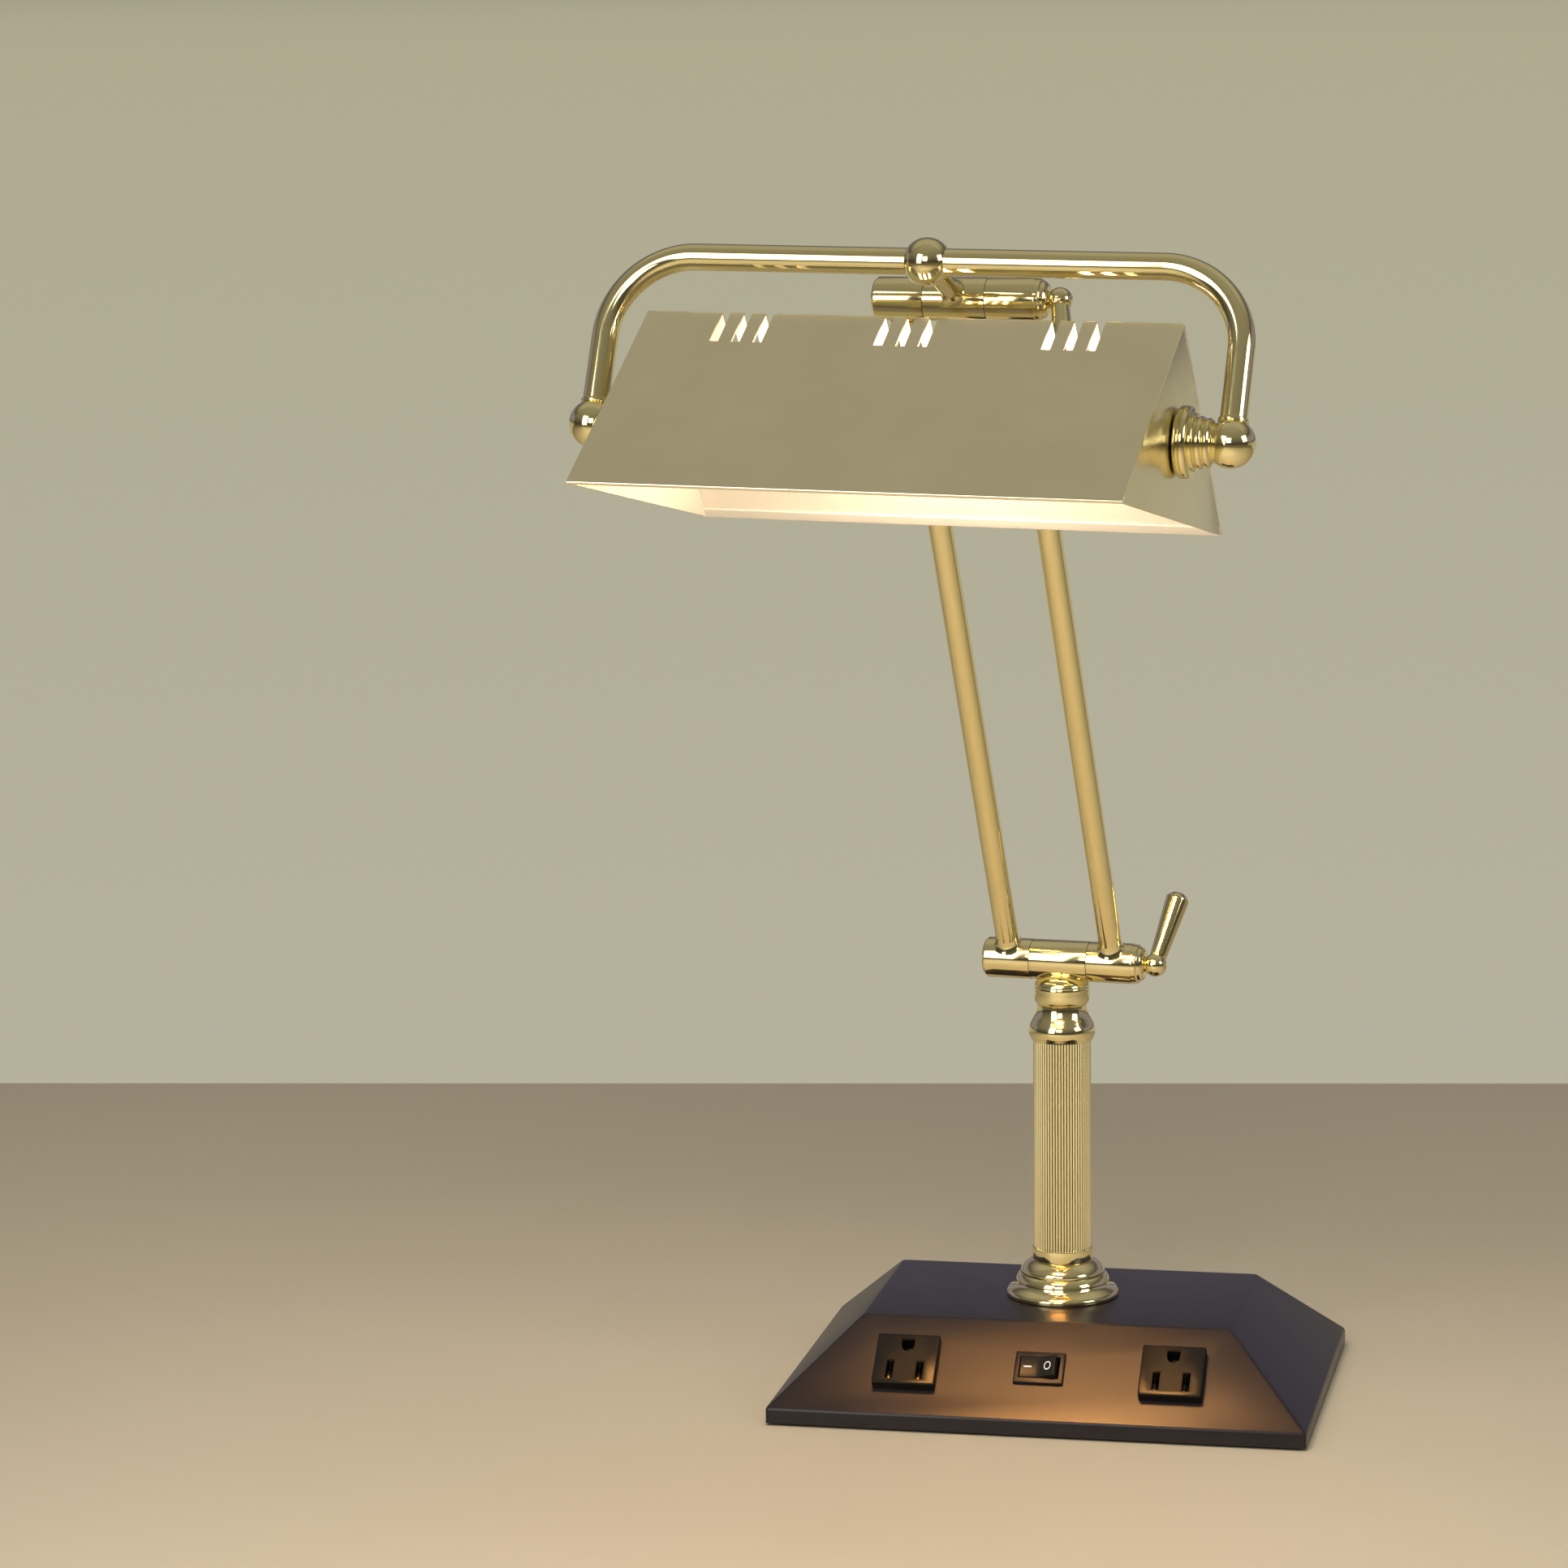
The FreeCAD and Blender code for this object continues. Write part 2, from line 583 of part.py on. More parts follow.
def lever_ball(centre):
    """The ball nut of a clamping lever, with its short screw into the end cap."""
    middle = centre + V(LEVER_BALL_X, 0, 0)
    screw = rod(LEVER_NECK_R, centre + V(SLEEVE_END + 0.1, 0, 0), middle)
    return placed(Part.makeSphere(LEVER_BALL_R, middle).fuse(screw).removeSplitter(), HEAD)


def lever_grip(centre, way):
    """The tapered grip, wide at its chamfered end."""
    way = V(way).normalize()
    middle = centre + V(LEVER_BALL_X, 0, 0)
    profile = [(3.5, 3.4), (5.15, LEVER_LENGTH - 2.6), (2.9, LEVER_LENGTH)]
    grip = aimed(lathe(profile), middle, way)
    return placed(grip.cut(Part.makeSphere(LEVER_BALL_R, middle)), HEAD)


# ---- yoke -------------------------------------------------------------------------------

def yoke_stub():
    stub = rod(STUB_R, UPPER_AXIS, BALL_CENTRE).cut(barrel_solid(UPPER_AXIS))
    return placed(stub.cut(Part.makeSphere(BALL_R, BALL_CENTRE)), HEAD)


def yoke_ball():
    return placed(Part.makeSphere(BALL_R), YOKE)


def end_centre(side):
    return V(side * YOKE_HALF, 0, 0) + LEG_WAY * YOKE_DROP


def yoke_path(side):
    """The tube's centre line: along the top, round the bend, down the leg."""
    bend_start = V(side * (YOKE_HALF - YOKE_BEND), 0, 0)
    leg_start = V(side * YOKE_HALF, 0, 0) + LEG_WAY * YOKE_BEND
    diagonal = (V(side, 0, 0) - LEG_WAY).normalize()
    bend_centre = bend_start + LEG_WAY * YOKE_BEND
    bend_middle = bend_centre + diagonal * YOKE_BEND
    return [Part.makeLine(V(0, 0, 0), bend_start),
            Part.Arc(bend_start, bend_middle, leg_start).toShape(),
            Part.makeLine(leg_start, end_centre(side))]


def swept(path, radius):
    ring = Part.Wire(Part.makeCircle(radius, V(0, 0, 0), X_AXIS))
    return Part.Wire(path).makePipeShell([ring], True, True)


def yoke_tube(side):
    solid = swept(yoke_path(side), YOKE_TUBE_R).cut(swept(yoke_path(side), YOKE_TUBE_BORE))
    solid = solid.cut(Part.makeSphere(BALL_R)).cut(Part.makeSphere(BALL_R, end_centre(side)))
    return placed(biggest(solid), YOKE)


def biggest(shape):
    return max(shape.Solids, key=lambda solid: solid.Volume)


def yoke_ferrules():
    rings = []
    for side in (-1, 1):
        start = end_centre(side) - LEG_WAY * (BALL_R - 1.6)
        ring = tube(FERRULE_R, YOKE_TUBE_R, start, start - LEG_WAY * FERRULE_LENGTH)
        rings.append(ring.cut(Part.makeSphere(BALL_R, end_centre(side))))
    return placed(Part.makeCompound(rings), YOKE)


def end_ball(side):
    return placed(Part.makeSphere(BALL_R, end_centre(side)), YOKE)


def hub_reach():
    """Distance from the shade's end to the yoke ball's centre."""
    return YOKE_HALF - SHADE_LENGTH / 2


def on_end(shape, side):
    """A shape made outwards along +Z from the shade's end, on the tilt axis."""
    start = V(side * SHADE_LENGTH / 2, 0, 0) + LEG_WAY * YOKE_DROP
    return placed(aimed(shape, start, V(side, 0, 0)), YOKE)


def swivel_hub(side):
    """The turned hub against the shade's end: wide disc, stepped beads, neck into the ball."""
    reach = hub_reach()
    profile = [(12.6, HUB_GAP), (13.5, 1.2), (13.8, 2.9), (13.5, 4.6), (12.4, 5.6), (11.0, 5.8),
               (10.9, 7.2), (9.7, 7.6), (9.9, 9.0), (9.4, 10.2), (8.8, 10.6), (9.3, 11.4),
               (9.2, 12.6), (8.2, 13.4), (7.3, reach - 5.4)]
    hub = lathe(profile).cut(Part.makeSphere(BALL_R, V(0, 0, reach)))
    return on_end(biggest(hub), side)


def swivel_stud(side):
    inner = -SHADE_SHEET - SPRING_THICKNESS - SWIVEL_NUT - 2.0
    return on_end(rod(STUD_R, V(0, 0, inner), V(0, 0, HUB_GAP)), side)


def swivel_spring(side):
    start = -SHADE_SHEET - SPRING_THICKNESS - 0.1
    return on_end(tube(SPRING_R, STUD_R, V(0, 0, start), V(0, 0, start + SPRING_THICKNESS)), side)


def swivel_end_nut(side):
    top = -SHADE_SHEET - SPRING_THICKNESS - 0.1
    nut = hexagon(NUT_R * math.sqrt(3), SWIVEL_NUT, top - SWIVEL_NUT)
    return on_end(nut.cut(rod(STUD_R, V(0, 0, top - 5), V(0, 0, top + 1))), side)


# ---- lamp holder and bulb ---------------------------------------------------------------

def holder_top():
    return -SHADE_SHEET - SPRING_THICKNESS - SWIVEL_NUT - 0.1


def lamp_holder():
    """The screw-shell lamp holder on the right stud: domed cap, then a plain sleeve."""
    top = holder_top()
    mouth = top - HOLDER_LENGTH
    profile = [(15.6, mouth), (15.6, mouth + 18), (14.4, mouth + 20), (14.4, top - 8), (12.0, top - 3),
               (9.0, top)]
    body = lathe(profile).cut(rod(SCREW_SHELL_R + 0.8, V(0, 0, mouth - 1), V(0, 0, mouth + 26)))
    return on_end(body.cut(rod(STUD_R, V(0, 0, top - 3), V(0, 0, top + 1))), 1)


def bulb_cap():
    """The bulb's screw shell, a thin cup that closes the neck of the glass."""
    start = holder_top() - HOLDER_LENGTH - 1.5
    outside = lathe([(SCREW_SHELL_R, start), (SCREW_SHELL_R, start + 20), (8.0, start + 23),
                     (4.0, start + 25)])
    bore = SCREW_SHELL_R - SCREW_SHELL_WALL
    return on_end(outside.cut(rod(bore, V(0, 0, start - 1), V(0, 0, start + 19.5))), 1)


def bulb_body(wall):
    """The tubular bulb's outline less a wall: a round end, and a neck that narrows to the cap."""
    neck = holder_top() - HOLDER_LENGTH - 1.5
    middle = BULB_CENTRE - SHADE_LENGTH / 2
    barrel = lathe([(BULB_R - wall, middle), (BULB_R - wall, neck - 8), (SCREW_SHELL_R - wall, neck)])
    return barrel.fuse(Part.makeSphere(BULB_R - wall, V(0, 0, middle)))


def bulb_glass():
    return on_end(biggest(bulb_body(0).cut(bulb_body(GLASS_WALL))), 1)


# ---- shade ------------------------------------------------------------------------------

def panel_point(side, along, depth):
    """A point of the shade's section: along a panel from the ridge, depth in from outside."""
    angle = math.radians(SHADE_HALF_ANGLE)
    y = side * (along * math.sin(angle) - depth * math.cos(angle))
    z = SHADE_PIVOT - along * math.cos(angle) - depth * math.sin(angle)
    return V(-SHADE_LENGTH / 2, y, z)


def inner_ridge(depth):
    drop = depth / math.sin(math.radians(SHADE_HALF_ANGLE))
    return V(-SHADE_LENGTH / 2, 0, SHADE_PIVOT - drop)


def shade_shell():
    """The folded panels with their hems turned in, and slots across the ridge."""
    hem = SHADE_PANEL - HEM_WIDTH
    outline = [panel_point(1, 0, 0)]
    outline += [panel_point(1, SHADE_PANEL, 0), panel_point(1, SHADE_PANEL, 2 * SHADE_SHEET),
                panel_point(1, hem, 2 * SHADE_SHEET), panel_point(1, hem, SHADE_SHEET)]
    outline += [inner_ridge(SHADE_SHEET)]
    outline += [panel_point(-1, hem, SHADE_SHEET), panel_point(-1, hem, 2 * SHADE_SHEET),
                panel_point(-1, SHADE_PANEL, 2 * SHADE_SHEET), panel_point(-1, SHADE_PANEL, 0)]
    shell = Part.Face(Part.makePolygon(outline + outline[:1])).extrude(V(SHADE_LENGTH, 0, 0))
    depth = SLOT_LENGTH * math.cos(math.radians(SHADE_HALF_ANGLE))
    for group in SLOT_GROUPS:
        for step in (-1, 0, 1):
            middle = V(group + step * SLOT_PITCH, 0, SHADE_PIVOT - depth + 15)
            shell = shell.cut(box((SLOT_WIDTH, 80, 30), middle))
    return shell


def end_plate(side, shell):
    """The triangular end, set flush between the panels, with the stud's hole."""
    corners = [panel_point(1, 0, 0), panel_point(1, SHADE_PANEL, 0), panel_point(-1, SHADE_PANEL, 0)]
    solid = Part.Face(Part.makePolygon(corners + corners[:1])).extrude(V(SHADE_SHEET, 0, 0))
    if side > 0:
        solid = placed(solid, Place(V(SHADE_LENGTH - SHADE_SHEET, 0, 0), Turn()))
    hole = rod(STUD_R + STUD_CLEARANCE, V(-SHADE_LENGTH, 0, 0), V(SHADE_LENGTH, 0, 0))
    return biggest(solid.cut(shell).cut(hole))


# ---- everything -------------------------------------------------------------------------

def make_base():
    export("base_shell", base_shell())
    export("base_plate", base_plate())
    export("shell_lugs", shell_lugs())
    export("base_screws", base_screws())
    export("felt_pad", felt_pad())
    export("counterweight", counterweight())
    export("switch_frame", switch_frame())
    export("switch_rocker", switch_rocker())
    export("cord_bushing", cord_bushing())
    export("wire_connectors", wire_connectors())


def make_column():
    export("lamp_pipe", lamp_pipe())
    export("pipe_washer", pipe_washer())
    export("pipe_nut", pipe_nut())
    export("column_leads", column_leads())
    export("column_foot", column_foot())
    export("column_collar", column_collar())
    export("column_tube", column_tube())
    export("column_cap", column_cap())
    export("swivel_ring", swivel_ring())
    export("swivel_saddle", swivel_saddle())
    export("swivel_stem", swivel_stem())
    export("swivel_nut", swivel_nut())


def make_knuckle(prefix, centre, way):
    export(prefix + "_centre_sleeve", centre_sleeve(centre))
    export(prefix + "_lever_ball", lever_ball(centre))
    export(prefix + "_lever_grip", lever_grip(centre, way))


def make_side(word, side, shell):
    export("outlet_" + word, outlet(side))
    export("lower_sleeve_" + word, side_sleeve(V(0, 0, 0), side))
    export("upper_sleeve_" + word, side_sleeve(UPPER_AXIS, side))
    export("arm_rod_" + word, arm_rod(side))
    export("yoke_tube_" + word, yoke_tube(side))
    export("end_ball_" + word, end_ball(side))
    export("swivel_hub_" + word, swivel_hub(side))
    export("end_plate_" + word, placed(end_plate(side, shell), SHADE))


def make_alike():
    """Small pieces that repeat: each kind is one group of separate solids."""
    centres = (V(0, 0, 0), UPPER_AXIS)
    sides = (-1, 1)
    export("seam_washers", Part.makeCompound([seam_washers(centre) for centre in centres]))
    export("clamp_bolts", Part.makeCompound([clamp_bolt(centre) for centre in centres]))
    export("left_end_caps", Part.makeCompound([left_end_cap(centre) for centre in centres]))
    export("right_end_caps", Part.makeCompound([right_end_cap(centre) for centre in centres]))
    export("outlet_contacts", Part.makeCompound([outlet_contacts(side) for side in sides]))
    export("swivel_studs", Part.makeCompound([swivel_stud(side) for side in sides]))
    export("swivel_springs", Part.makeCompound([swivel_spring(side) for side in sides]))
    export("swivel_end_nuts", Part.makeCompound([swivel_end_nut(side) for side in sides]))


def main():
    os.makedirs("parts", exist_ok=True)
    make_base()
    make_column()
    make_knuckle("lower", V(0, 0, 0), LOWER_LEVER_WAY)
    make_knuckle("upper", UPPER_AXIS, UPPER_LEVER_WAY)
    make_alike()
    export("yoke_stub", yoke_stub())
    export("yoke_ball", yoke_ball())
    export("yoke_ferrules", yoke_ferrules())
    export("lamp_holder", lamp_holder())
    export("bulb_cap", bulb_cap())
    export("bulb_glass", bulb_glass())
    shell = shade_shell()
    export("shade_shell", placed(shell, SHADE))
    make_side("left", -1, shell)
    make_side("right", 1, shell)
    print("upper knuckle", HEAD.multVec(UPPER_AXIS))
    print("tilt axis", SHADE.Base, SHADE.Rotation.multVec(X_AXIS))
    print("knuckle axis", HEAD.Rotation.multVec(X_AXIS))
    print("rocker pivot", FRONT_SLOPE.multVec(V(0, SWITCH_UP, POCKET_PIVOT)))
    print("rocker axis", FRONT_SLOPE.Rotation.multVec(Y_AXIS))
    print("bushing", BACK_SLOPE.multVec(V(BUSHING_X, 0, 0)), BACK_SLOPE.Rotation.multVec(Z_AXIS))


main()
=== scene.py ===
import bpy
import math
from mathutils import Matrix, Vector


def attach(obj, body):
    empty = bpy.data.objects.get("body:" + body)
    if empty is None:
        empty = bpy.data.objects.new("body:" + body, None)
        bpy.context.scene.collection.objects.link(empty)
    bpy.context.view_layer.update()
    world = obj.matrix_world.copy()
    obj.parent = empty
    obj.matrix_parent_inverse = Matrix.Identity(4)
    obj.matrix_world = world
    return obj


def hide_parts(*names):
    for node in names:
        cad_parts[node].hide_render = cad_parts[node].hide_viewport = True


# %% [markdown]
# # A banker desk lamp in polished brass and black steel
# The lamp stands on a folded steel base with two outlets and a rocker switch. A reeded column
# carries a clamped knuckle, two rods rise to a second knuckle, and a bent tube holds a folded
# brass shade that tilts. The exact solids were drawn elsewhere and come in as the frame. Here
# each visible one gets a smoother piece and a real finish, at the same size and in the same place.

# %% Load the frame
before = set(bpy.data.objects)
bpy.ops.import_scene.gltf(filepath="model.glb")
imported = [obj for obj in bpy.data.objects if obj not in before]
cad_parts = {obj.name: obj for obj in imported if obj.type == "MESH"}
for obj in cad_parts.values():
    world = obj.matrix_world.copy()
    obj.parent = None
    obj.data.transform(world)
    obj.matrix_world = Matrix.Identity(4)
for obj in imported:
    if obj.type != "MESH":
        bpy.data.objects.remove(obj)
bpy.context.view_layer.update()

# %% [markdown]
# ## Sizes
# Lengths are in millimetres, because that is how a lamp maker writes them, and MM turns them into
# Blender's metres at the last moment. Four frames say where things sit: the head that turns on the
# column, the yoke, the shade in the yoke, and the front slope of the base.

# %% Sizes and frames
MM = 0.001
X, Y, Z = Vector((1, 0, 0)), Vector((0, 1, 0)), Vector((0, 0, 1))


def moved(x, y, z):
    return Matrix.Translation(Vector((x, y, z)) * MM)


def turned_by(degrees, axis):
    return Matrix.Rotation(math.radians(degrees), 4, axis)


def aimed(origin, way):
    """A frame whose own Z points along way, with its origin given in millimetres."""
    return moved(*origin) @ Z.rotation_difference(Vector(way)).to_matrix().to_4x4()


BASE_LENGTH, BASE_DEPTH, BASE_HEIGHT, BASE_SHEET = 228.6, 167.6, 40.6, 1.2
TOP_LENGTH, TOP_DEPTH, LIP_BOTTOM, LIP_TOP = 157.4, 93.4, 1.2, 7.6
SLOPE_ANGLE, OUTLET_X, SWITCH_UP = 41.65, 56.5, 0.8
BARREL_R, SEAM_X, SLEEVE_END, ROD_X, ROD_R = 8.7, 12.55, 32.0, 22.7, 5.0
ARM_LENGTH, LEVER_BALL_X, LEVER_BALL_R, LEVER_LENGTH = 329.7, 41.1, 5.0, 33.4
BALL_R, YOKE_HALF, YOKE_DROP, YOKE_BEND, YOKE_TUBE_R = 9.4, 126.4, 69.1, 33.0, 5.3
SHADE_LENGTH, SHADE_PANEL, SHADE_PIVOT, SHADE_SHEET, HEM_WIDTH = 212.4, 108.7, 44.7, 0.8, 4.8
SHADE_HALF_ANGLE = math.radians(47.6)


def leaning(degrees, forward, up):
    """A unit way in the lamp's middle plane, an angle from straight along forward or up."""
    angle = math.radians(degrees)
    return Vector((0, forward * math.sin(angle), up * math.cos(angle)))


HEAD = moved(0, 0, 187.5) @ turned_by(-6.34, "Z")
ARM_WAY = leaning(27.6, -1, 1)
LEG_WAY = leaning(23.6, -1, -1)
STUB_WAY = leaning(90 - 22.6, -1, 1)
KNUCKLES = {"lower": Vector((0, 0, 0)), "upper": ARM_WAY * ARM_LENGTH}
BALL_CENTRE = KNUCKLES["upper"] + STUB_WAY * 43.75 + Vector((-0.6, 0, 0))
YOKE = HEAD @ moved(*BALL_CENTRE) @ turned_by(0.74, "Y")
SHADE = YOKE @ moved(*(LEG_WAY * YOKE_DROP)) @ turned_by(-10.4, "X")
FRONT_SLOPE = moved(0, -65.25, 24.1) @ turned_by(SLOPE_ANGLE, "X")
BACK_SLOPE = turned_by(180, "Z") @ FRONT_SLOPE
print("upper knuckle:", [round(v, 4) for v in (HEAD @ (KNUCKLES["upper"] * MM))])

# %% [markdown]
# ## Camera
# The camera looks a little down and from the lamp's right. Its place is worked out from a turn
# round the lamp, a height angle, a distance and a slight roll, the way a tripod is set up.

# %% Camera
AZIMUTH, ELEVATION, ROLL = (math.radians(angle) for angle in (11.89, 9.13, -0.66))
TARGET, DISTANCE = Vector((-0.1207, 0.0, 0.2613)), 2.17292
back = Vector((math.sin(AZIMUTH) * math.cos(ELEVATION), -math.cos(AZIMUTH) * math.cos(ELEVATION),
               math.sin(ELEVATION)))
level_right = Vector((math.cos(AZIMUTH), math.sin(AZIMUTH), 0))
level_up = back.cross(level_right)
right = level_right * math.cos(ROLL) + level_up * math.sin(ROLL)
up = level_up * math.cos(ROLL) - level_right * math.sin(ROLL)
camera = bpy.data.objects.new("camera", bpy.data.cameras.new("camera"))
camera.data.sensor_width = 36.0
camera.data.lens = 115.79
camera.data.clip_start, camera.data.clip_end = 0.05, 50.0
camera.matrix_world = (Matrix.Translation(TARGET + back * DISTANCE)
                       @ Matrix((right, up, back)).transposed().to_4x4())
bpy.context.scene.collection.objects.link(camera)
bpy.context.scene.camera = camera
print("camera at", [round(v, 3) for v in camera.matrix_world.translation])

# %% [markdown]
# ## Finishes as expressions
# A finish is a small calculation: noise makes wear, wear changes colour and gloss. Wiring nodes by
# hand hides that, so a Knob wraps one socket and lets sums and products be written as sums and
# products. Every other node comes from Finish.node, which sets a node's options first and then its
# sockets.

# %% Knob and Finish


class Knob:
    """One output socket of a finish, for use in sums and products."""

    def __init__(self, finish, socket):
        self.finish = finish
        self.socket = socket

    def maths(self, operation, first, second):
        return self.finish.node("Math", {"operation": operation}, {0: first, 1: second})

    def __add__(self, other):
        return self.maths("ADD", self, other)

    def __radd__(self, other):
        return self.maths("ADD", other, self)

    def __sub__(self, other):
        return self.maths("SUBTRACT", self, other)

    def __rsub__(self, other):
        return self.maths("SUBTRACT", other, self)

    def __mul__(self, other):
        return self.maths("MULTIPLY", self, other)

    def __rmul__(self, other):
        return self.maths("MULTIPLY", other, self)

    def __gt__(self, other):
        return self.maths("GREATER_THAN", self, other)


class Finish:
    """A material that is being made."""

    def __init__(self, name):
        self.material = bpy.data.materials.new(name)
        self.material.use_nodes = True
        self.tree = self.material.node_tree
        self.tree.nodes.clear()
        self.place = self.node("TexCoord", {}, {}, "Object")

    def node(self, kind, settings, sockets, output=0):
        """Adds a node: its options first, then its sockets' values or links; gives one output."""
        made = self.tree.nodes.new("ShaderNode" + kind)
        for name, value in settings.items():
            if name == "stops":
                for index, (position, colour) in enumerate(value):
                    while len(made.color_ramp.elements) <= index:
                        made.color_ramp.elements.new(1.0)
                    made.color_ramp.elements[index].position = position
                    made.color_ramp.elements[index].color = (*colour, 1)
            else:
                setattr(made, name, value)
        for name, value in sockets.items():
            if isinstance(value, Knob):
                self.tree.links.new(value.socket, made.inputs[name])
            else:
                made.inputs[name].default_value = value
        return Knob(self, made.outputs[output])

    def noise(self, size_mm, detail=3.0, stretch=(1, 1, 1)):
        """Soft noise from 0 to 1, with features about size_mm wide."""
        scale = tuple(part / (size_mm * MM) for part in stretch)
        where = self.node("Mapping", {}, {"Vector": self.place, "Scale": scale}, "Vector")
        return self.node("TexNoise", {}, {"Vector": where, "Scale": 1.0, "Detail": detail}, "Fac")

    def blend(self, factor, first, second):
        settings = {"data_type": "RGBA"}
        return self.node("Mix", settings, {0: factor, 6: (*first, 1), 7: (*second, 1)}, 2)

    def bump(self, height, depth_mm, strength=1.0):
        sockets = {"Height": height, "Distance": depth_mm * MM, "Strength": strength}
        return self.node("Bump", {}, sockets, "Normal")

    def surface(self, sockets):
        """The last node: one Principled surface with these sockets."""
        shader = self.node("BsdfPrincipled", {}, sockets, "BSDF")
        self.node_output = self.tree.nodes.new("ShaderNodeOutputMaterial")
        self.tree.links.new(shader.socket, self.node_output.inputs["Surface"])
        print("finish:", self.material.name, len(self.tree.nodes), "nodes")
        return self.material


# %% [markdown]
# ## Brass
# Polished and lacquered brass is nearly a mirror, so its look is what it reflects. What keeps it
# from looking like a computer's mirror is small: a slow colour drift in the lacquer, faint
# handling haze in the gloss, and a slight waviness from polishing. The flat shade panels are
# rolled sheet with a hazier lacquer, so the same recipe runs with other numbers.

# %% Brass finishes


def brass(name, light, deep, gloss, haze, wave_mm, wave_depth_mm, groove_shade_r=0.0):
    """Lacquered brass; grooves closer to the lamp's axis than the groove radius (mm) get a painted dark
    shade.
    """
    finish = Finish(name)
    drift = finish.noise(38, 2)
    smudge = finish.noise(9, 5)
    hairline = finish.noise(0.9, 2, (1, 1, 0.12))
    wave = finish.noise(wave_mm, 1)
    colour = finish.blend(drift, light, deep)
    if groove_shade_r:
        flat = finish.node("VectorMath", {"operation": "MULTIPLY"}, {0: finish.place, 1: (1, 1, 0)})
        radius = finish.node("VectorMath", {"operation": "LENGTH"}, {0: flat}, "Value")
        # Painted shade: the reed grooves get a flat dark amber colour in place of the brass.
        colour = finish.node("Mix", {"data_type": "RGBA"},
                             {0: radius > groove_shade_r * MM, 6: (0.16, 0.12, 0.04, 1), 7: colour}, 2)
    return finish.surface({
        "Base Color": colour,
        "Metallic": 1.0,
        "Roughness": gloss + haze * smudge + haze * 0.5 * hairline,
        "Coat Weight": 0.25 + 0.2 * smudge,
        "Coat Roughness": 0.05,
        "Normal": finish.bump(wave, wave_depth_mm),
    })


POLISHED = brass("polished_brass", (0.91, 0.81, 0.47), (0.86, 0.75, 0.38), 0.05, 0.06, 14, 0.02)
# The reeded tube's grooves get a painted dark shade.
REEDED = brass("reeded_brass", (0.95, 0.90, 0.62), (0.90, 0.84, 0.54), 0.12, 0.06, 14, 0.02,
               groove_shade_r=12.1)
SHADE_BRASS = brass("shade_brass", (0.88, 0.80, 0.56), (0.77, 0.70, 0.47), 0.13, 0.12, 30, 0.06)
SPRING = brass("spring_brass", (0.80, 0.62, 0.30), (0.70, 0.52, 0.24), 0.22, 0.1, 6, 0.01)

# %% [markdown]
# ## Paint, plastic, steel and the rest
# The base has a satin powder coat: fine orange peel in the bump and a soft violet-black colour.
# The outlets are gloss mouldings and the switch has a fine spark texture. Hidden parts get
# honest finishes too, because they show from below and through gaps.

# %% Other finishes


def coated(name, dark, light, rough, spread, grain_mm, grain_depth_mm, **more):
    """Paint, plastic or bare metal: two close colours, uneven gloss and a fine grain."""
    finish = Finish(name)
    patch = finish.noise(22, 4)
    grain = finish.noise(grain_mm, 2)
    sockets = {
        "Base Color": finish.blend(patch, dark, light),
        "Roughness": rough + spread * patch,
        "Normal": finish.bump(grain, grain_depth_mm),
    }
    sockets.update({name.replace("_", " "): value for name, value in more.items()})
    return finish.surface(sockets)


BLACK_PAINT = coated("black_paint", (0.009, 0.007, 0.009), (0.015, 0.012, 0.015), 0.27, 0.08, 0.5,
                     0.02, Specular_IOR_Level=0.38)
OUTLET = coated("outlet_plastic", (0.008, 0.007, 0.006), (0.013, 0.011, 0.009), 0.2, 0.1, 1.2, 0.008,
                Specular_IOR_Level=0.15)
SWITCH = coated("switch_plastic", (0.009, 0.008, 0.008), (0.014, 0.013, 0.012), 0.3, 0.1, 0.3, 0.015,
                Specular_IOR_Level=0.2)
BUSHING = coated("bushing_plastic", (0.02, 0.02, 0.02), (0.03, 0.03, 0.03), 0.45, 0.1, 0.4, 0.02)
FIBRE = coated("washer_fibre", (0.05, 0.035, 0.02), (0.09, 0.065, 0.04), 0.7, 0.1, 0.3, 0.03)
CONNECTOR = coated("connector_plastic", (0.62, 0.33, 0.04), (0.74, 0.42, 0.07), 0.35, 0.1, 0.8, 0.02)
LEADS = coated("lead_insulation", (0.78, 0.77, 0.72), (0.86, 0.85, 0.80), 0.4, 0.1, 1.0, 0.01)
HOLDER = coated("holder_plastic", (0.78, 0.76, 0.70), (0.86, 0.84, 0.78), 0.16, 0.1, 2.0, 0.01)
ZINC = coated("zinc_steel", (0.50, 0.51, 0.53), (0.62, 0.62, 0.62), 0.28, 0.15, 0.8, 0.01,
              Metallic=1.0)
IRON = coated("cast_iron", (0.05, 0.05, 0.05), (0.10, 0.10, 0.10), 0.6, 0.2, 0.9, 0.12, Metallic=0.8)
SCREW_CAP = coated("bulb_screw", (0.72, 0.72, 0.73), (0.82, 0.82, 0.82), 0.2, 0.1, 1.5, 0.01,
                   Metallic=1.0)
ENAMEL = coated("white_enamel", (0.84, 0.82, 0.78), (0.90, 0.89, 0.86), 0.3, 0.12, 1.2, 0.01)
PRINT = coated("white_print", (0.70, 0.70, 0.68), (0.82, 0.82, 0.80), 0.4, 0.1, 0.5, 0.005)
FELT = coated("felt", (0.018, 0.024, 0.018), (0.035, 0.045, 0.035), 0.9, 0.08, 0.35, 0.25,
              Sheen_Weight=0.6)
GLOW = (1.0, 0.72, 0.46, 1)
BULB = coated("frosted_glass", (0.95, 0.90, 0.82), (1.0, 0.96, 0.90), 0.35, 0.1, 0.6, 0.01,
              Emission_Color=GLOW, Emission_Strength=15.0)

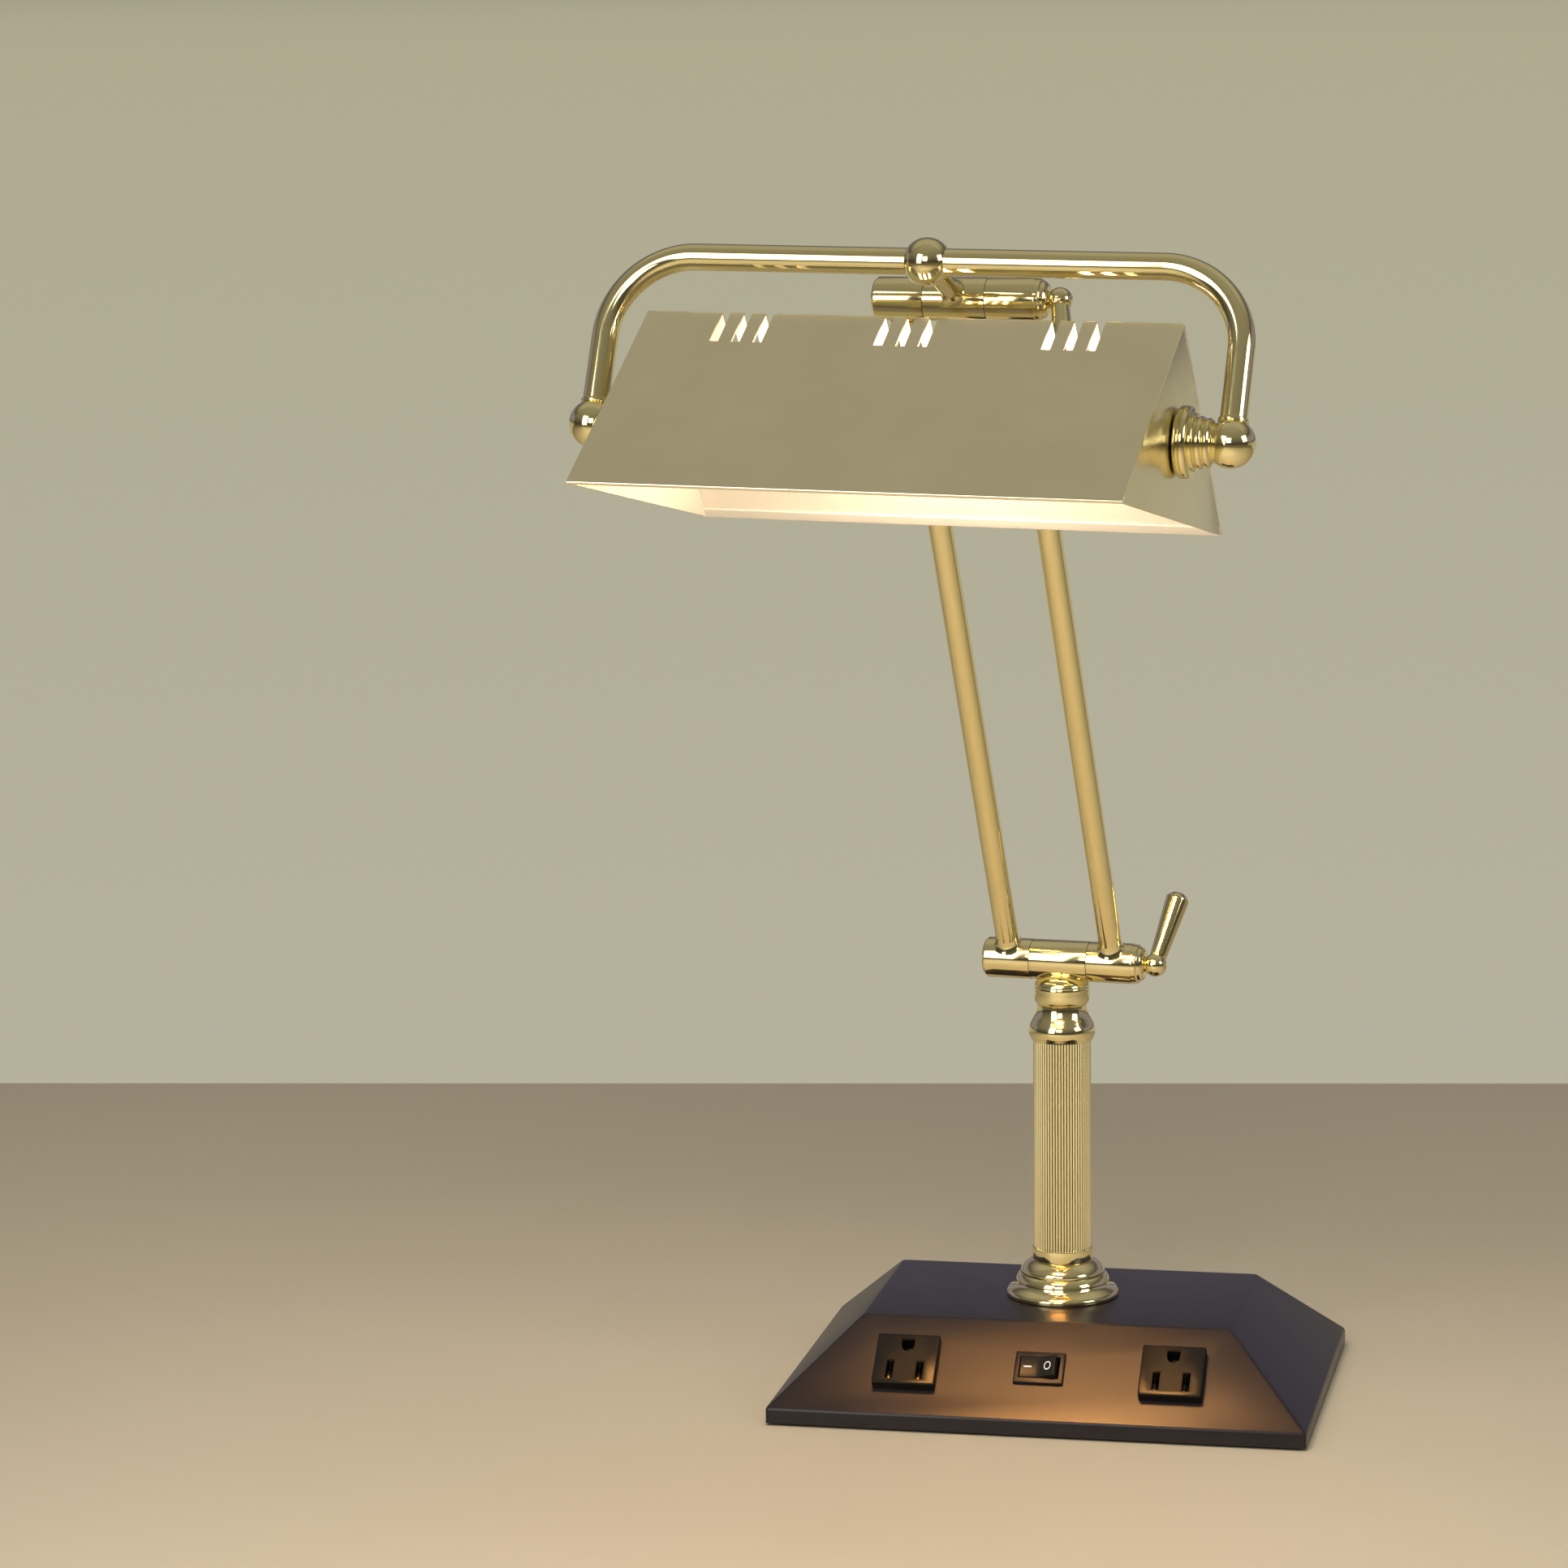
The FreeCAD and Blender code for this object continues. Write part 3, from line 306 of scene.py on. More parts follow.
# %% [markdown]
# ## Tools for modelling
# Most of this lamp is turned on a lathe or bent from sheet and tube. So the tools are the same few
# moves a person makes in edit mode: trace a line by extruding one vertex, spin it round an axis,
# then place the result. Everything is deselected first, since an operator acts on all selected.

# %% Modelling tools


def clear_selection():
    if bpy.context.object and bpy.context.object.mode == "EDIT":
        bpy.ops.object.mode_set(mode="OBJECT")
    bpy.ops.object.select_all(action="DESELECT")


def choose(piece):
    clear_selection()
    piece.select_set(True)
    bpy.context.view_layer.objects.active = piece


def begin(name):
    """Names the primitive that was just added and opens it in edit mode, all selected."""
    piece = bpy.context.object
    piece.name = name
    bpy.ops.object.mode_set(mode="EDIT")
    bpy.ops.mesh.select_mode(type="VERT")
    bpy.ops.mesh.select_all(action="SELECT")
    return piece


def step_by(way):
    bpy.ops.mesh.extrude_region_move(TRANSFORM_OT_translate={"value": Vector(way) * MM})


def trace(name, points):
    """A chain of edges through points in millimetres, made by extruding one vertex."""
    clear_selection()
    bpy.ops.mesh.primitive_plane_add(size=MM, location=Vector(points[0]) * MM)
    piece = begin(name)
    bpy.ops.object.mode_set(mode="OBJECT")
    bpy.ops.object.transform_apply(location=True, rotation=True, scale=True)
    bpy.ops.object.mode_set(mode="EDIT")
    bpy.ops.mesh.merge(type="CENTER")
    for start, end in zip(points, points[1:]):
        step_by(Vector(end) - Vector(start))
    return piece


def mend():
    """Merges doubles and turns every face outwards."""
    bpy.ops.mesh.select_all(action="SELECT")
    bpy.ops.mesh.remove_doubles(threshold=2e-6)
    bpy.ops.mesh.normals_make_consistent(inside=False)
    bpy.ops.object.mode_set(mode="OBJECT")


def lathe(name, profile, bore=0.0, steps=96):
    """Spins (radius, height) points about Z; a bore makes a ring, and no bore a solid."""
    chain = [(bore, 0, profile[0][1])] + [(r, 0, h) for r, h in profile] + [(bore, 0, profile[-1][1])]
    if bore:
        chain.append(chain[0])
    piece = trace(name, chain)
    bpy.ops.mesh.select_all(action="SELECT")
    bpy.ops.mesh.spin(steps=steps, angle=math.tau, center=(0, 0, 0), axis=(0, 0, 1))
    mend()
    return piece


def finish_piece(piece, place, body, nodes, materials, angle=32):
    """Puts a piece where it belongs, smooths it, gives it its finishes, hangs it on its body and hides the
    frame parts it stands for.
    """
    choose(piece)
    piece.matrix_world = place @ piece.matrix_world
    bpy.ops.object.transform_apply(location=True, rotation=True, scale=True)
    bpy.ops.object.shade_smooth_by_angle(angle=math.radians(angle))
    for material in materials:
        piece.data.materials.append(material)
    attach(piece, body)
    if nodes:
        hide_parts(*nodes)
    piece.select_set(False)
    print("piece:", piece.name, len(piece.data.polygons), "faces")
    return piece


def brass_piece(piece, place, body, *nodes, angle=32, material=POLISHED):
    return finish_piece(piece, place, body, nodes, [material], angle)


def curve_through(points, steps=5):
    """Points on a smooth curve through the given ones."""
    padded = [points[0]] + list(points) + [points[-1]]
    found = []
    for before, start, end, after in zip(padded, padded[1:], padded[2:], padded[3:]):
        for index in range(steps):
            t = index / steps
            found.append(tuple(
                0.5 * (2 * q + (r - p) * t + (2 * p - 5 * q + 4 * r - s) * t * t
                       + (3 * q - p - 3 * r + s) * t ** 3)
                for p, q, r, s in zip(before, start, end, after)))
    return found + [tuple(points[-1])]


def eased(points, radius, steps=3):
    """The same line with its corners rounded, as a buffing wheel leaves them."""
    found = [points[0]]
    for before, corner, after in zip(points, points[1:], points[2:]):
        corner = Vector(corner)
        ways = [Vector(before) - corner, Vector(after) - corner]
        reach = min(radius, ways[0].length * 0.45, ways[1].length * 0.45)
        first, last = (corner + way.normalized() * reach for way in ways)
        for index in range(steps + 1):
            t = index / steps
            found.append(tuple(first * (1 - t) ** 2 + corner * 2 * t * (1 - t) + last * t * t))
    return found + [points[-1]]


def apply_modifier(piece, kind, **settings):
    choose(piece)
    modifier = piece.modifiers.new(kind.lower(), kind)
    for name, value in settings.items():
        setattr(modifier, name, value)
    bpy.ops.object.modifier_apply(modifier=modifier.name)


def cut_away(piece, cutter):
    """Cuts one closed mesh from another and removes the cutter."""
    apply_modifier(piece, "BOOLEAN", operation="DIFFERENCE", object=cutter, solver="EXACT")
    bpy.data.objects.remove(cutter)


def block(name, size, centre, place=Matrix.Identity(4)):
    """A box of a size in millimetres, placed and with its place in its mesh."""
    clear_selection()
    bpy.ops.mesh.primitive_cube_add(size=1.0)
    piece = bpy.context.object
    piece.name = name
    piece.matrix_world = place @ moved(*centre) @ Matrix.Diagonal((*(Vector(size) * MM), 1))
    bpy.ops.object.transform_apply(location=True, rotation=True, scale=True)
    return piece


def select_faces(piece, test):
    """Selects the faces whose centre and normal pass the test; leaves edit mode open."""
    bpy.ops.object.mode_set(mode="EDIT")
    bpy.ops.mesh.select_mode(type="FACE")
    bpy.ops.mesh.select_all(action="DESELECT")
    bpy.ops.object.mode_set(mode="OBJECT")
    for face in piece.data.polygons:
        face.select = test(face.center / MM, face.normal)
    bpy.ops.object.mode_set(mode="EDIT")


def select_edges(piece, test):
    bpy.ops.object.mode_set(mode="EDIT")
    bpy.ops.mesh.select_mode(type="EDGE")
    bpy.ops.mesh.select_all(action="DESELECT")
    bpy.ops.object.mode_set(mode="OBJECT")
    corners = piece.data.vertices
    for edge in piece.data.edges:
        edge.select = test(corners[edge.vertices[0]].co / MM, corners[edge.vertices[1]].co / MM)
    bpy.ops.object.mode_set(mode="EDIT")


# %% [markdown]
# ## Base shell
# The base is one sheet of steel folded into a hipped box: an upright lip, four slopes and a flat
# top. A plane is extruded up for the lip, then up and in for the slopes, the folds are bevelled
# to a sheet's bend radius, the bottom is opened, and Solidify gives the sheet its thickness.

# %% Base shell
clear_selection()
bpy.ops.mesh.primitive_plane_add(size=1.0)
shell = begin("folded_base")
bpy.ops.transform.resize(value=(BASE_LENGTH * MM, BASE_DEPTH * MM, 1))
bpy.ops.transform.translate(value=(0, 0, LIP_BOTTOM * MM))
step_by((0, 0, LIP_TOP - LIP_BOTTOM))
step_by((0, 0, BASE_HEIGHT - LIP_TOP))
bpy.ops.transform.resize(value=(TOP_LENGTH / BASE_LENGTH, TOP_DEPTH / BASE_DEPTH, 1))
mend()
choose(shell)
select_edges(shell, lambda a, b: max(a.z, b.z) > LIP_TOP - 0.1)
bpy.ops.mesh.bevel(offset=1.0 * MM, segments=4, affect="EDGES")
bpy.ops.object.mode_set(mode="OBJECT")
select_faces(shell, lambda centre, normal: centre.z < LIP_BOTTOM + 0.1)
bpy.ops.mesh.delete(type="FACE")
bpy.ops.object.mode_set(mode="OBJECT")
apply_modifier(shell, "SOLIDIFY", thickness=BASE_SHEET * MM, offset=-1.0)
for side in (-1, 1):
    cut_away(shell, block("hole", (23.6, 21.0, 8), (side * OUTLET_X, 0, 0), FRONT_SLOPE))
cut_away(shell, block("hole", (18.6, 13.0, 8), (0, SWITCH_UP, 0), FRONT_SLOPE))
finish_piece(shell, Matrix.Identity(4), "base", ["base_shell"], [BLACK_PAINT], 25)

# %% [markdown]
# A felt pad covers the underside, a little smaller than the lip all round. Its edge is cut, so it
# is square with a slightly crushed corner.

# %% Felt pad
pad = block("felt_sheet", (BASE_LENGTH - 10, BASE_DEPTH - 10, LIP_BOTTOM), (0, 0, LIP_BOTTOM / 2))
apply_modifier(pad, "BEVEL", width=0.25 * MM, segments=2)
finish_piece(pad, Matrix.Identity(4), "base", ["felt_pad"], [FELT])

# %% [markdown]
# ## Outlets
# Each outlet is a snap-in moulding with two blade slots and a round earth hole with a flat side.
# A box is bevelled, each hole gets a shallow wider recess round its rim, and the holes are cut with
# booleans, which keeps their walls straight and deep.

# %% Outlets
FACE_X, FACE_Y, FACE_Z = 26.8, 24.8, 5.0
BLADE_UP, EARTH_UP, EARTH_R = -5.4, 6.9, 2.8


def earth_cutter(radius, bottom):
    """A round hole with a flat top side, reaching from bottom to above the face."""
    earth = lathe("earth", [(radius, bottom), (radius, FACE_Z + 1)], steps=48)
    height = FACE_Z + 1 - bottom
    flat = block("flat", (2 * radius, radius, height), (0, radius / 2, bottom + height / 2))
    apply_modifier(earth, "BOOLEAN", operation="UNION", object=flat, solver="EXACT")
    bpy.data.objects.remove(flat)
    earth.data.transform(moved(0, EARTH_UP, 0))
    return earth


def outlet_moulding(name):
    moulding = block(name, (FACE_X, FACE_Y, FACE_Z), (0, 0, FACE_Z / 2))
    select_edges(moulding, lambda a, b: min(a.z, b.z) > FACE_Z - 0.1 or abs(a.z - b.z) > 1)
    bpy.ops.mesh.bevel(offset=0.8 * MM, segments=3, affect="EDGES")
    bpy.ops.object.mode_set(mode="OBJECT")
    body = block("body", (23.6, 21.0, 11.0), (0, 0, -5.4))
    apply_modifier(moulding, "BOOLEAN", operation="UNION", object=body, solver="EXACT")
    bpy.data.objects.remove(body)
    for widen, depth in ((0.7, 0.4), (0.0, 10.0)):
        for step in (-0.5, 0.5):
            centre = (step * 12.7, BLADE_UP, FACE_Z + 1 - depth / 2 - 0.5)
            cut_away(moulding, block("slot", (3.2 + widen, 8.6 + widen, depth + 1), centre))
        cut_away(moulding, earth_cutter(EARTH_R + widen / 2, FACE_Z - depth))
    return moulding


for word, side in (("left", -1), ("right", 1)):
    place = FRONT_SLOPE @ moved(side * OUTLET_X, 0, 0)
    finish_piece(outlet_moulding("outlet_moulding_" + word), place, "base",
                 ["outlet_" + word], [OUTLET], 25)

# %% [markdown]
# ## Rocker switch
# The bezel is a bevelled frame with a pocket. The rocker is a bar with a dished top, and its left
# half is pressed in. The marks are thin white prints: a bar for on and a ring for off.

# %% Rocker switch
bezel = block("switch_bezel", (21.2, 15.6, 1.6), (0, SWITCH_UP, 0.8))
select_edges(bezel, lambda a, b: min(a.z, b.z) > 1.5 or abs(a.z - b.z) > 1)
bpy.ops.mesh.bevel(offset=0.6 * MM, segments=3, affect="EDGES")
bpy.ops.object.mode_set(mode="OBJECT")
bezel_body = block("body", (18.6, 13.0, 11.0), (0, SWITCH_UP, -5.4))
apply_modifier(bezel, "BOOLEAN", operation="UNION", object=bezel_body, solver="EXACT")
bpy.data.objects.remove(bezel_body)
cut_away(bezel, block("pocket", (17.2, 10.8, 8.6), (0, SWITCH_UP, -1.7)))
finish_piece(bezel, FRONT_SLOPE, "base", ["switch_frame"], [SWITCH], 25)

ROCKER = FRONT_SLOPE @ moved(0, SWITCH_UP, -0.6) @ turned_by(-10.0, "Y")
ROCKER_HALF, ROCKER_WIDTH, ROCKER_EDGE, ROCKER_DIP = 7.7, 10.2, 3.9, 2.7


def rocker_top(x):
    """Height of the dished top: low in the middle, and rising to each edge."""
    return ROCKER_DIP + (ROCKER_EDGE - ROCKER_DIP) * min(abs(x) / ROCKER_HALF, 1) ** 1.3


outline = [(x / 10, 0, rocker_top(x / 10)) for x in range(-77, 78, 7)]
outline = [(-ROCKER_HALF, 0, -1.6)] + outline + [(ROCKER_HALF, 0, -1.6), (-ROCKER_HALF, 0, -1.6)]
rocker = trace("rocker_bar", [(x, -ROCKER_WIDTH / 2, z) for x, _, z in outline])
bpy.ops.mesh.select_all(action="SELECT")
bpy.ops.mesh.remove_doubles(threshold=2e-6)
bpy.ops.mesh.edge_face_add()
step_by((0, ROCKER_WIDTH, 0))
mend()
apply_modifier(rocker, "BEVEL", width=0.35 * MM, segments=2, limit_method="ANGLE",
               angle_limit=math.radians(40))
finish_piece(rocker, ROCKER, "rocker", ["switch_rocker"], [SWITCH], 25)

bar = block("on_mark", (3.4, 0.65, 0.12), (0, 0, 0))
bar_place = ROCKER @ moved(-4.4, 0, rocker_top(4.4) + 0.02) @ turned_by(9.0, "Y")
finish_piece(bar, bar_place, "rocker", [], [PRINT])
ring = lathe("off_mark", [(1.85, -0.06), (1.85, 0.06)], bore=1.4, steps=48)
ring.data.transform(Matrix.Diagonal((0.85, 1.12, 1, 1)))
ring_place = ROCKER @ moved(4.2, 0, rocker_top(4.2) + 0.02) @ turned_by(-9.0, "Y")
finish_piece(ring, ring_place, "rocker", [], [PRINT])

# %% [markdown]
# ## Cord bushing
# A turned plastic bushing lines the hole in the back slope where a cord would leave.

# %% Cord bushing
profile = eased([(5.4, -5.0), (5.4, 0), (7.4, 0), (7.4, 1.8), (3.9, 1.8)], 0.5)
bushing = lathe("cord_bushing_ring", profile, bore=3.4, steps=64)
finish_piece(bushing, BACK_SLOPE, "base", ["cord_bushing"], [BUSHING])

# %% [markdown]
# ## Column
# The foot is spun brass with a rolled rim and two soft steps, and a collar on it holds the tube.
# Above the tube come a turned cap with a waist, and the ring that the head turns on. Each is one
# profile spun round the column's axis, its curves smoothed and its edges eased.

# %% Turned column parts
foot = [(15.0, 40.6), (23.7, 40.6)] + curve_through([(24.2, 41.2), (24.2, 42.4), (23.5, 43.5)])
foot += curve_through([(23.4, 43.6), (21.6, 44.6), (20.4, 45.8), (19.9, 46.9)])
foot += curve_through([(20.1, 47.1), (20.2, 47.6), (19.7, 48.8), (18.9, 49.9), (18.0, 50.5)])
foot += curve_through([(18.1, 50.8), (18.0, 52.0), (17.2, 53.4), (15.9, 54.8), (14.3, 55.9), (13.1, 56.4)])
brass_piece(lathe("spun_foot", foot, bore=5.2), Matrix.Identity(4), "base", "column_foot", angle=24)
collar = eased([(12.6, 56.4), (13.1, 56.4), (13.1, 61.9), (12.4, 61.9)], 0.5)
brass_piece(lathe("tube_collar", collar, bore=11.4), Matrix.Identity(4), "base", "column_collar")
cap = curve_through([(13.0, 153.2), (13.5, 154.2), (14.2, 155.8), (14.4, 157.6), (14.0, 159.6),
                     (12.9, 161.8), (11.7, 164.1), (10.9, 166.4), (10.6, 168.6)], 6)
brass_piece(lathe("turned_cap", cap, bore=5.2), Matrix.Identity(4), "base", "column_cap")
ring = curve_through([(10.4, 168.6), (11.2, 169.5), (11.8, 170.8), (12.0, 172.6), (12.0, 174.6),
                      (12.0, 175.8), (11.8, 176.6)], 6)
brass_piece(lathe("turning_ring", ring, bore=5.1), Matrix.Identity(4), "base", "swivel_ring")

# %% [markdown]
# The tube has sixty fine reeds. Its whole outline is traced once, with a wave in its radius, and
# extruded up the column, so the reeds are real ribs in the mesh.

# %% Reeded tube
REEDS, REED_STEPS, REED_DEPTH = 60, 8, 0.5
outline = []
for index in range(REEDS * REED_STEPS):
    lift = abs(math.sin(math.pi * index / REED_STEPS))
    angle = math.tau * index / (REEDS * REED_STEPS)
    radius = 12.4 - REED_DEPTH * (1 - lift)
    outline.append((radius * math.cos(angle), radius * math.sin(angle), 60.0))
tube = trace("reeded_tube", outline + outline[:1])
bpy.ops.mesh.select_all(action="SELECT")
bpy.ops.mesh.remove_doubles(threshold=2e-6)
bpy.ops.mesh.edge_face_add()
step_by((0, 0, 95.0))
mend()
brass_piece(tube, Matrix.Identity(4), "base", "column_tube", angle=40, material=REEDED)

# %% [markdown]
# ## Knuckles
# Both knuckles are a brass barrel in three pieces on one bolt. The middle piece belongs to one
# side of the joint and the outer two to the other. Fibre washers show as dark seams. The left
# end has a chamfered cap and the right end a stepped one with the clamping lever.

# %% Barrel pieces


def barrel(name, start, end):
    return lathe(name, eased([(BARREL_R - 0.05, start), (BARREL_R, start), (BARREL_R, end),
                              (BARREL_R - 0.05, end)], 0.35), bore=4.05)


def on_barrel(centre):
    return HEAD @ aimed(centre, X)


GAP = 0.14
for word, centre in KNUCKLES.items():
    middle_body = "head" if word == "lower" else "yoke"
    place = on_barrel(centre)
    brass_piece(barrel(word + "_barrel_middle", GAP - SEAM_X, SEAM_X - GAP), place, middle_body,
                word + "_centre_sleeve")
    brass_piece(barrel(word + "_barrel_left", -SLEEVE_END, -SEAM_X - GAP), place, "arm",
                word + "_sleeve_left")
    brass_piece(barrel(word + "_barrel_right", SEAM_X + GAP, SLEEVE_END), place, "arm",
                word + "_sleeve_right")
    left_cap = eased([(8.3, -32.0), (8.3, -32.6), (7.2, -33.7), (0.0, -33.7)][::-1], 0.35)
    brass_piece(lathe(word + "_cap_left", left_cap), place, "arm")
    right_cap = eased([(8.3, 32.0), (8.3, 34.0), (7.5, 34.4), (7.1, 35.6), (5.8, 36.8), (2.9, 36.8)], 0.35)
    brass_piece(lathe(word + "_cap_right", right_cap, bore=2.85), place, "arm")
    for index, side in enumerate((-1, 1)):
        faces = [(8.35, side * SEAM_X + half * (GAP - 0.04)) for half in (-1, 1)]
        washer = lathe(word + "_seam_" + str(index), faces, bore=4.05)
        finish_piece(washer, place, "arm", [], [FIBRE])
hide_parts("left_end_caps")
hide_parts("right_end_caps")
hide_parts("seam_washers")

# %% [markdown]
# The domed saddle under the lower barrel seats it on the ring.

# %% Saddle
rise = 176.6 - 187.5
dome = curve_through([(11.8, rise), (11.7, rise + 0.8), (10.9, rise + 2.2), (9.3, rise + 3.6),
                      (7.0, rise + 4.8)])
brass_piece(lathe("knuckle_saddle", dome), HEAD, "head", "swivel_saddle")

# %% [markdown]
# ## Rods
# Two brass tubes join the knuckles. A circle is added at one end and extruded to the other; both
# ends run on inside the barrels, where the real ones are brazed.

# %% Rods


def pipe_start(name, radius, place, vertices=64):
    """A ring of vertices in edit mode, ready to be extruded along a path."""
    clear_selection()
    bpy.ops.mesh.primitive_circle_add(vertices=vertices, radius=radius * MM, fill_type="NGON")
    piece = bpy.context.object
    piece.matrix_world = place
    bpy.ops.object.transform_apply(location=True, rotation=True, scale=True)
    return begin(name)


def braze_profile(radius):
    """The flare of filler metal where a tube of this radius meets a barrel."""
    return curve_through([(radius + 1.9, 7.2), (radius + 1.1, 8.3), (radius + 0.4, 9.6), (radius, 11.6)])


for word, side in (("left", -1), ("right", 1)):
    rod = pipe_start("brass_rod_" + word, ROD_R, aimed((side * ROD_X, 0, 0), ARM_WAY))
    step_by(ARM_WAY * ARM_LENGTH)
    mend()
    brass_piece(rod, HEAD, "arm", "arm_rod_" + word)
    for level, start, way in (("lower", (side * ROD_X, 0, 0), ARM_WAY),
                              ("upper", Vector((side * ROD_X, 0, 0)) + ARM_WAY * ARM_LENGTH, -ARM_WAY)):
        fillet = lathe("braze_" + level + "_" + word, braze_profile(ROD_R), bore=ROD_R - 0.4, steps=64)
        brass_piece(fillet, HEAD @ aimed(start, way), "arm")

# %% [markdown]
# ## Clamping levers
# A ball nut with a short screw, and a grip that widens to a chamfered end. The ball and the grip
# are both turned, each about its own way.

# %% Clamping levers
LEVER_WAYS = {"lower": Vector((0.194, 0.499, 0.842)), "upper": Vector((0.194, -0.550, -0.812))}
ball_arc = [(LEVER_BALL_R * math.sin(math.radians(a)), -LEVER_BALL_R * math.cos(math.radians(a)))
            for a in range(40, 181, 5)]
for word, centre in KNUCKLES.items():
    body = word + "_lever"
    middle = centre + X * LEVER_BALL_X
    profile = eased([(2.8, 32.1 - LEVER_BALL_X), (2.8, -4.6), (3.3, -4.1)], 0.3) + ball_arc
    brass_piece(lathe(word + "_ball_nut", profile), HEAD @ aimed(middle, X), body, word + "_lever_ball")
    profile = eased([(3.4, 3.0), (3.6, 4.2), (5.05, 30.2), (5.0, 31.0), (2.9, 33.2), (0.0, 33.2)], 0.5)
    brass_piece(lathe(word + "_grip", profile), HEAD @ aimed(middle, LEVER_WAYS[word]), body,
                word + "_lever_grip")

# %% [markdown]
# ## Yoke
# The stub rises from the upper knuckle to a ball. A tube leaves each side of the ball, turns
# down through a bend and ends in a smaller fitting with a ring. The tube is a circle that is
# extruded, spun through the bend and extruded again, as a pipe bender would do it.

# %% Stub and ball
stub = pipe_start("yoke_stem", 3.9, aimed(KNUCKLES["upper"], BALL_CENTRE - KNUCKLES["upper"]))
step_by(BALL_CENTRE - KNUCKLES["upper"])
mend()
brass_piece(stub, HEAD, "yoke", "yoke_stub")
fillet = lathe("braze_stem", braze_profile(3.9), bore=3.5, steps=64)
brass_piece(fillet, HEAD @ aimed(KNUCKLES["upper"], STUB_WAY), "yoke")


def ball(name):
    """A turned ball, flattened by a hair at its poles."""
    arc = [(BALL_R * math.sin(math.radians(a)), -BALL_R * math.cos(math.radians(a)))
           for a in range(0, 181, 4)]
    return lathe(name, arc[1:-1])


brass_piece(ball("yoke_finial"), YOKE @ turned_by(90, "Y"), "yoke", "yoke_ball")

# %% Bent tubes
for word, side in (("left", -1), ("right", 1)):
    tube = pipe_start("bent_tube_" + word, YOKE_TUBE_R, aimed((0, 0, 0), (side, 0, 0)))
    step_by((side * (YOKE_HALF - YOKE_BEND), 0, 0))
    bend_centre = Vector((side * (YOKE_HALF - YOKE_BEND), 0, 0)) + LEG_WAY * YOKE_BEND
    bpy.ops.mesh.spin(steps=28, angle=math.pi / 2, center=bend_centre * MM,
                      axis=LEG_WAY.cross(Vector((side, 0, 0))))
    step_by(LEG_WAY * (YOKE_DROP - YOKE_BEND))
    mend()
    brass_piece(tube, YOKE, "yoke", "yoke_tube_" + word)
    end = Vector((side * YOKE_HALF, 0, 0)) + LEG_WAY * YOKE_DROP
    brass_piece(ball("end_finial_" + word), YOKE @ moved(*end) @ turned_by(90, "Y"), "yoke",
                "end_ball_" + word)
    ferrule = eased([(5.4, 7.6), (5.9, 7.8), (5.9, 9.3), (5.4, 9.4)], 0.3)
    brass_piece(lathe("leg_ring_" + word, ferrule, bore=5.2), YOKE @ aimed(end, -LEG_WAY), "yoke")
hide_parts("yoke_ferrules")

# %% [markdown]
# ## Swivels
# Each end of the shade turns on a hub: a wide disc with a groove, two smaller beads and a neck
# that runs into the ball. Inside the shade a flat spring and a hexagon nut hold the stud.

# %% Swivels
hub = [(12.2, 0.15)] + curve_through([(12.9, 0.5), (13.7, 1.6), (13.8, 2.6)])
hub += curve_through([(13.45, 2.9), (13.8, 3.2), (13.7, 4.3), (12.9, 5.3), (11.4, 5.8)])
hub += curve_through([(11.0, 6.0), (11.1, 6.8), (10.6, 7.4), (9.7, 7.6)])
hub += curve_through([(9.6, 7.8), (10.0, 8.8), (9.7, 9.9), (8.9, 10.5)])
hub += curve_through([(8.8, 10.7), (9.3, 11.4), (9.3, 12.4), (8.5, 13.3), (7.4, 14.0), (6.9, 15.6)])
for word, side in (("left", -1), ("right", 1)):
    start = Vector((side * SHADE_LENGTH / 2, 0, 0)) + LEG_WAY * YOKE_DROP
    place = YOKE @ aimed(start, (side, 0, 0))
    brass_piece(lathe("turned_hub_" + word, hub), place, "yoke", "swivel_hub_" + word)
    stud = lathe("stud_" + word, eased([(3.6, -7.1), (4.0, -6.8), (4.0, 0.1)], 0.2), steps=48)
    finish_piece(stud, place, "yoke", [], [ZINC])
    spring = lathe("flat_spring_" + word, [(7.0, -1.7), (7.0, -0.9)], bore=4.0, steps=64)
    finish_piece(spring, place, "yoke", [], [ZINC])
    clear_selection()
    bpy.ops.mesh.primitive_cylinder_add(vertices=6, radius=8.0 * MM, depth=3.5 * MM,
                                        location=(0, 0, -3.45 * MM))
    nut = bpy.context.object
    nut.name = "swivel_hexagon_" + word
    bpy.ops.object.transform_apply(location=True, rotation=True, scale=True)
    apply_modifier(nut, "BEVEL", width=0.4 * MM, segments=2)
    finish_piece(nut, place, "yoke", [], [ZINC])
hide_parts("swivel_studs")
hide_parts("swivel_springs")
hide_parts("swivel_end_nuts")

# %% [markdown]
# ## Lamp holder and bulb
# The holder is a glazed sleeve on the right stud. The bulb is a frosted tube with a round end. It
# is the one thing here that gives light.

# %% Lamp holder and bulb
place = YOKE @ aimed(X * (SHADE_LENGTH / 2) + LEG_WAY * YOKE_DROP, X)
sleeve = eased([(13.6, -45.2), (15.6, -45.2), (15.6, -27.2), (14.4, -25.2), (14.4, -13.2), (12.0, -8.2),
                (9.0, -5.3)], 0.8)
finish_piece(lathe("holder_sleeve", sleeve, bore=4.1), place, "yoke",
             ["lamp_holder"], [HOLDER])
BULB_R, BULB_MIDDLE = 15.9, -135.2
arc = [(BULB_R * math.sin(math.radians(a)), BULB_MIDDLE - BULB_R * math.cos(math.radians(a)))
       for a in range(5, 91, 5)]
glass = arc + eased([(BULB_R, -130.0), (BULB_R, -54.7), (13.2, -46.7), (12.6, -45.4)], 3.0, 5)[1:]
finish_piece(lathe("bulb_tube", glass), place, "yoke", ["bulb_glass"], [BULB])

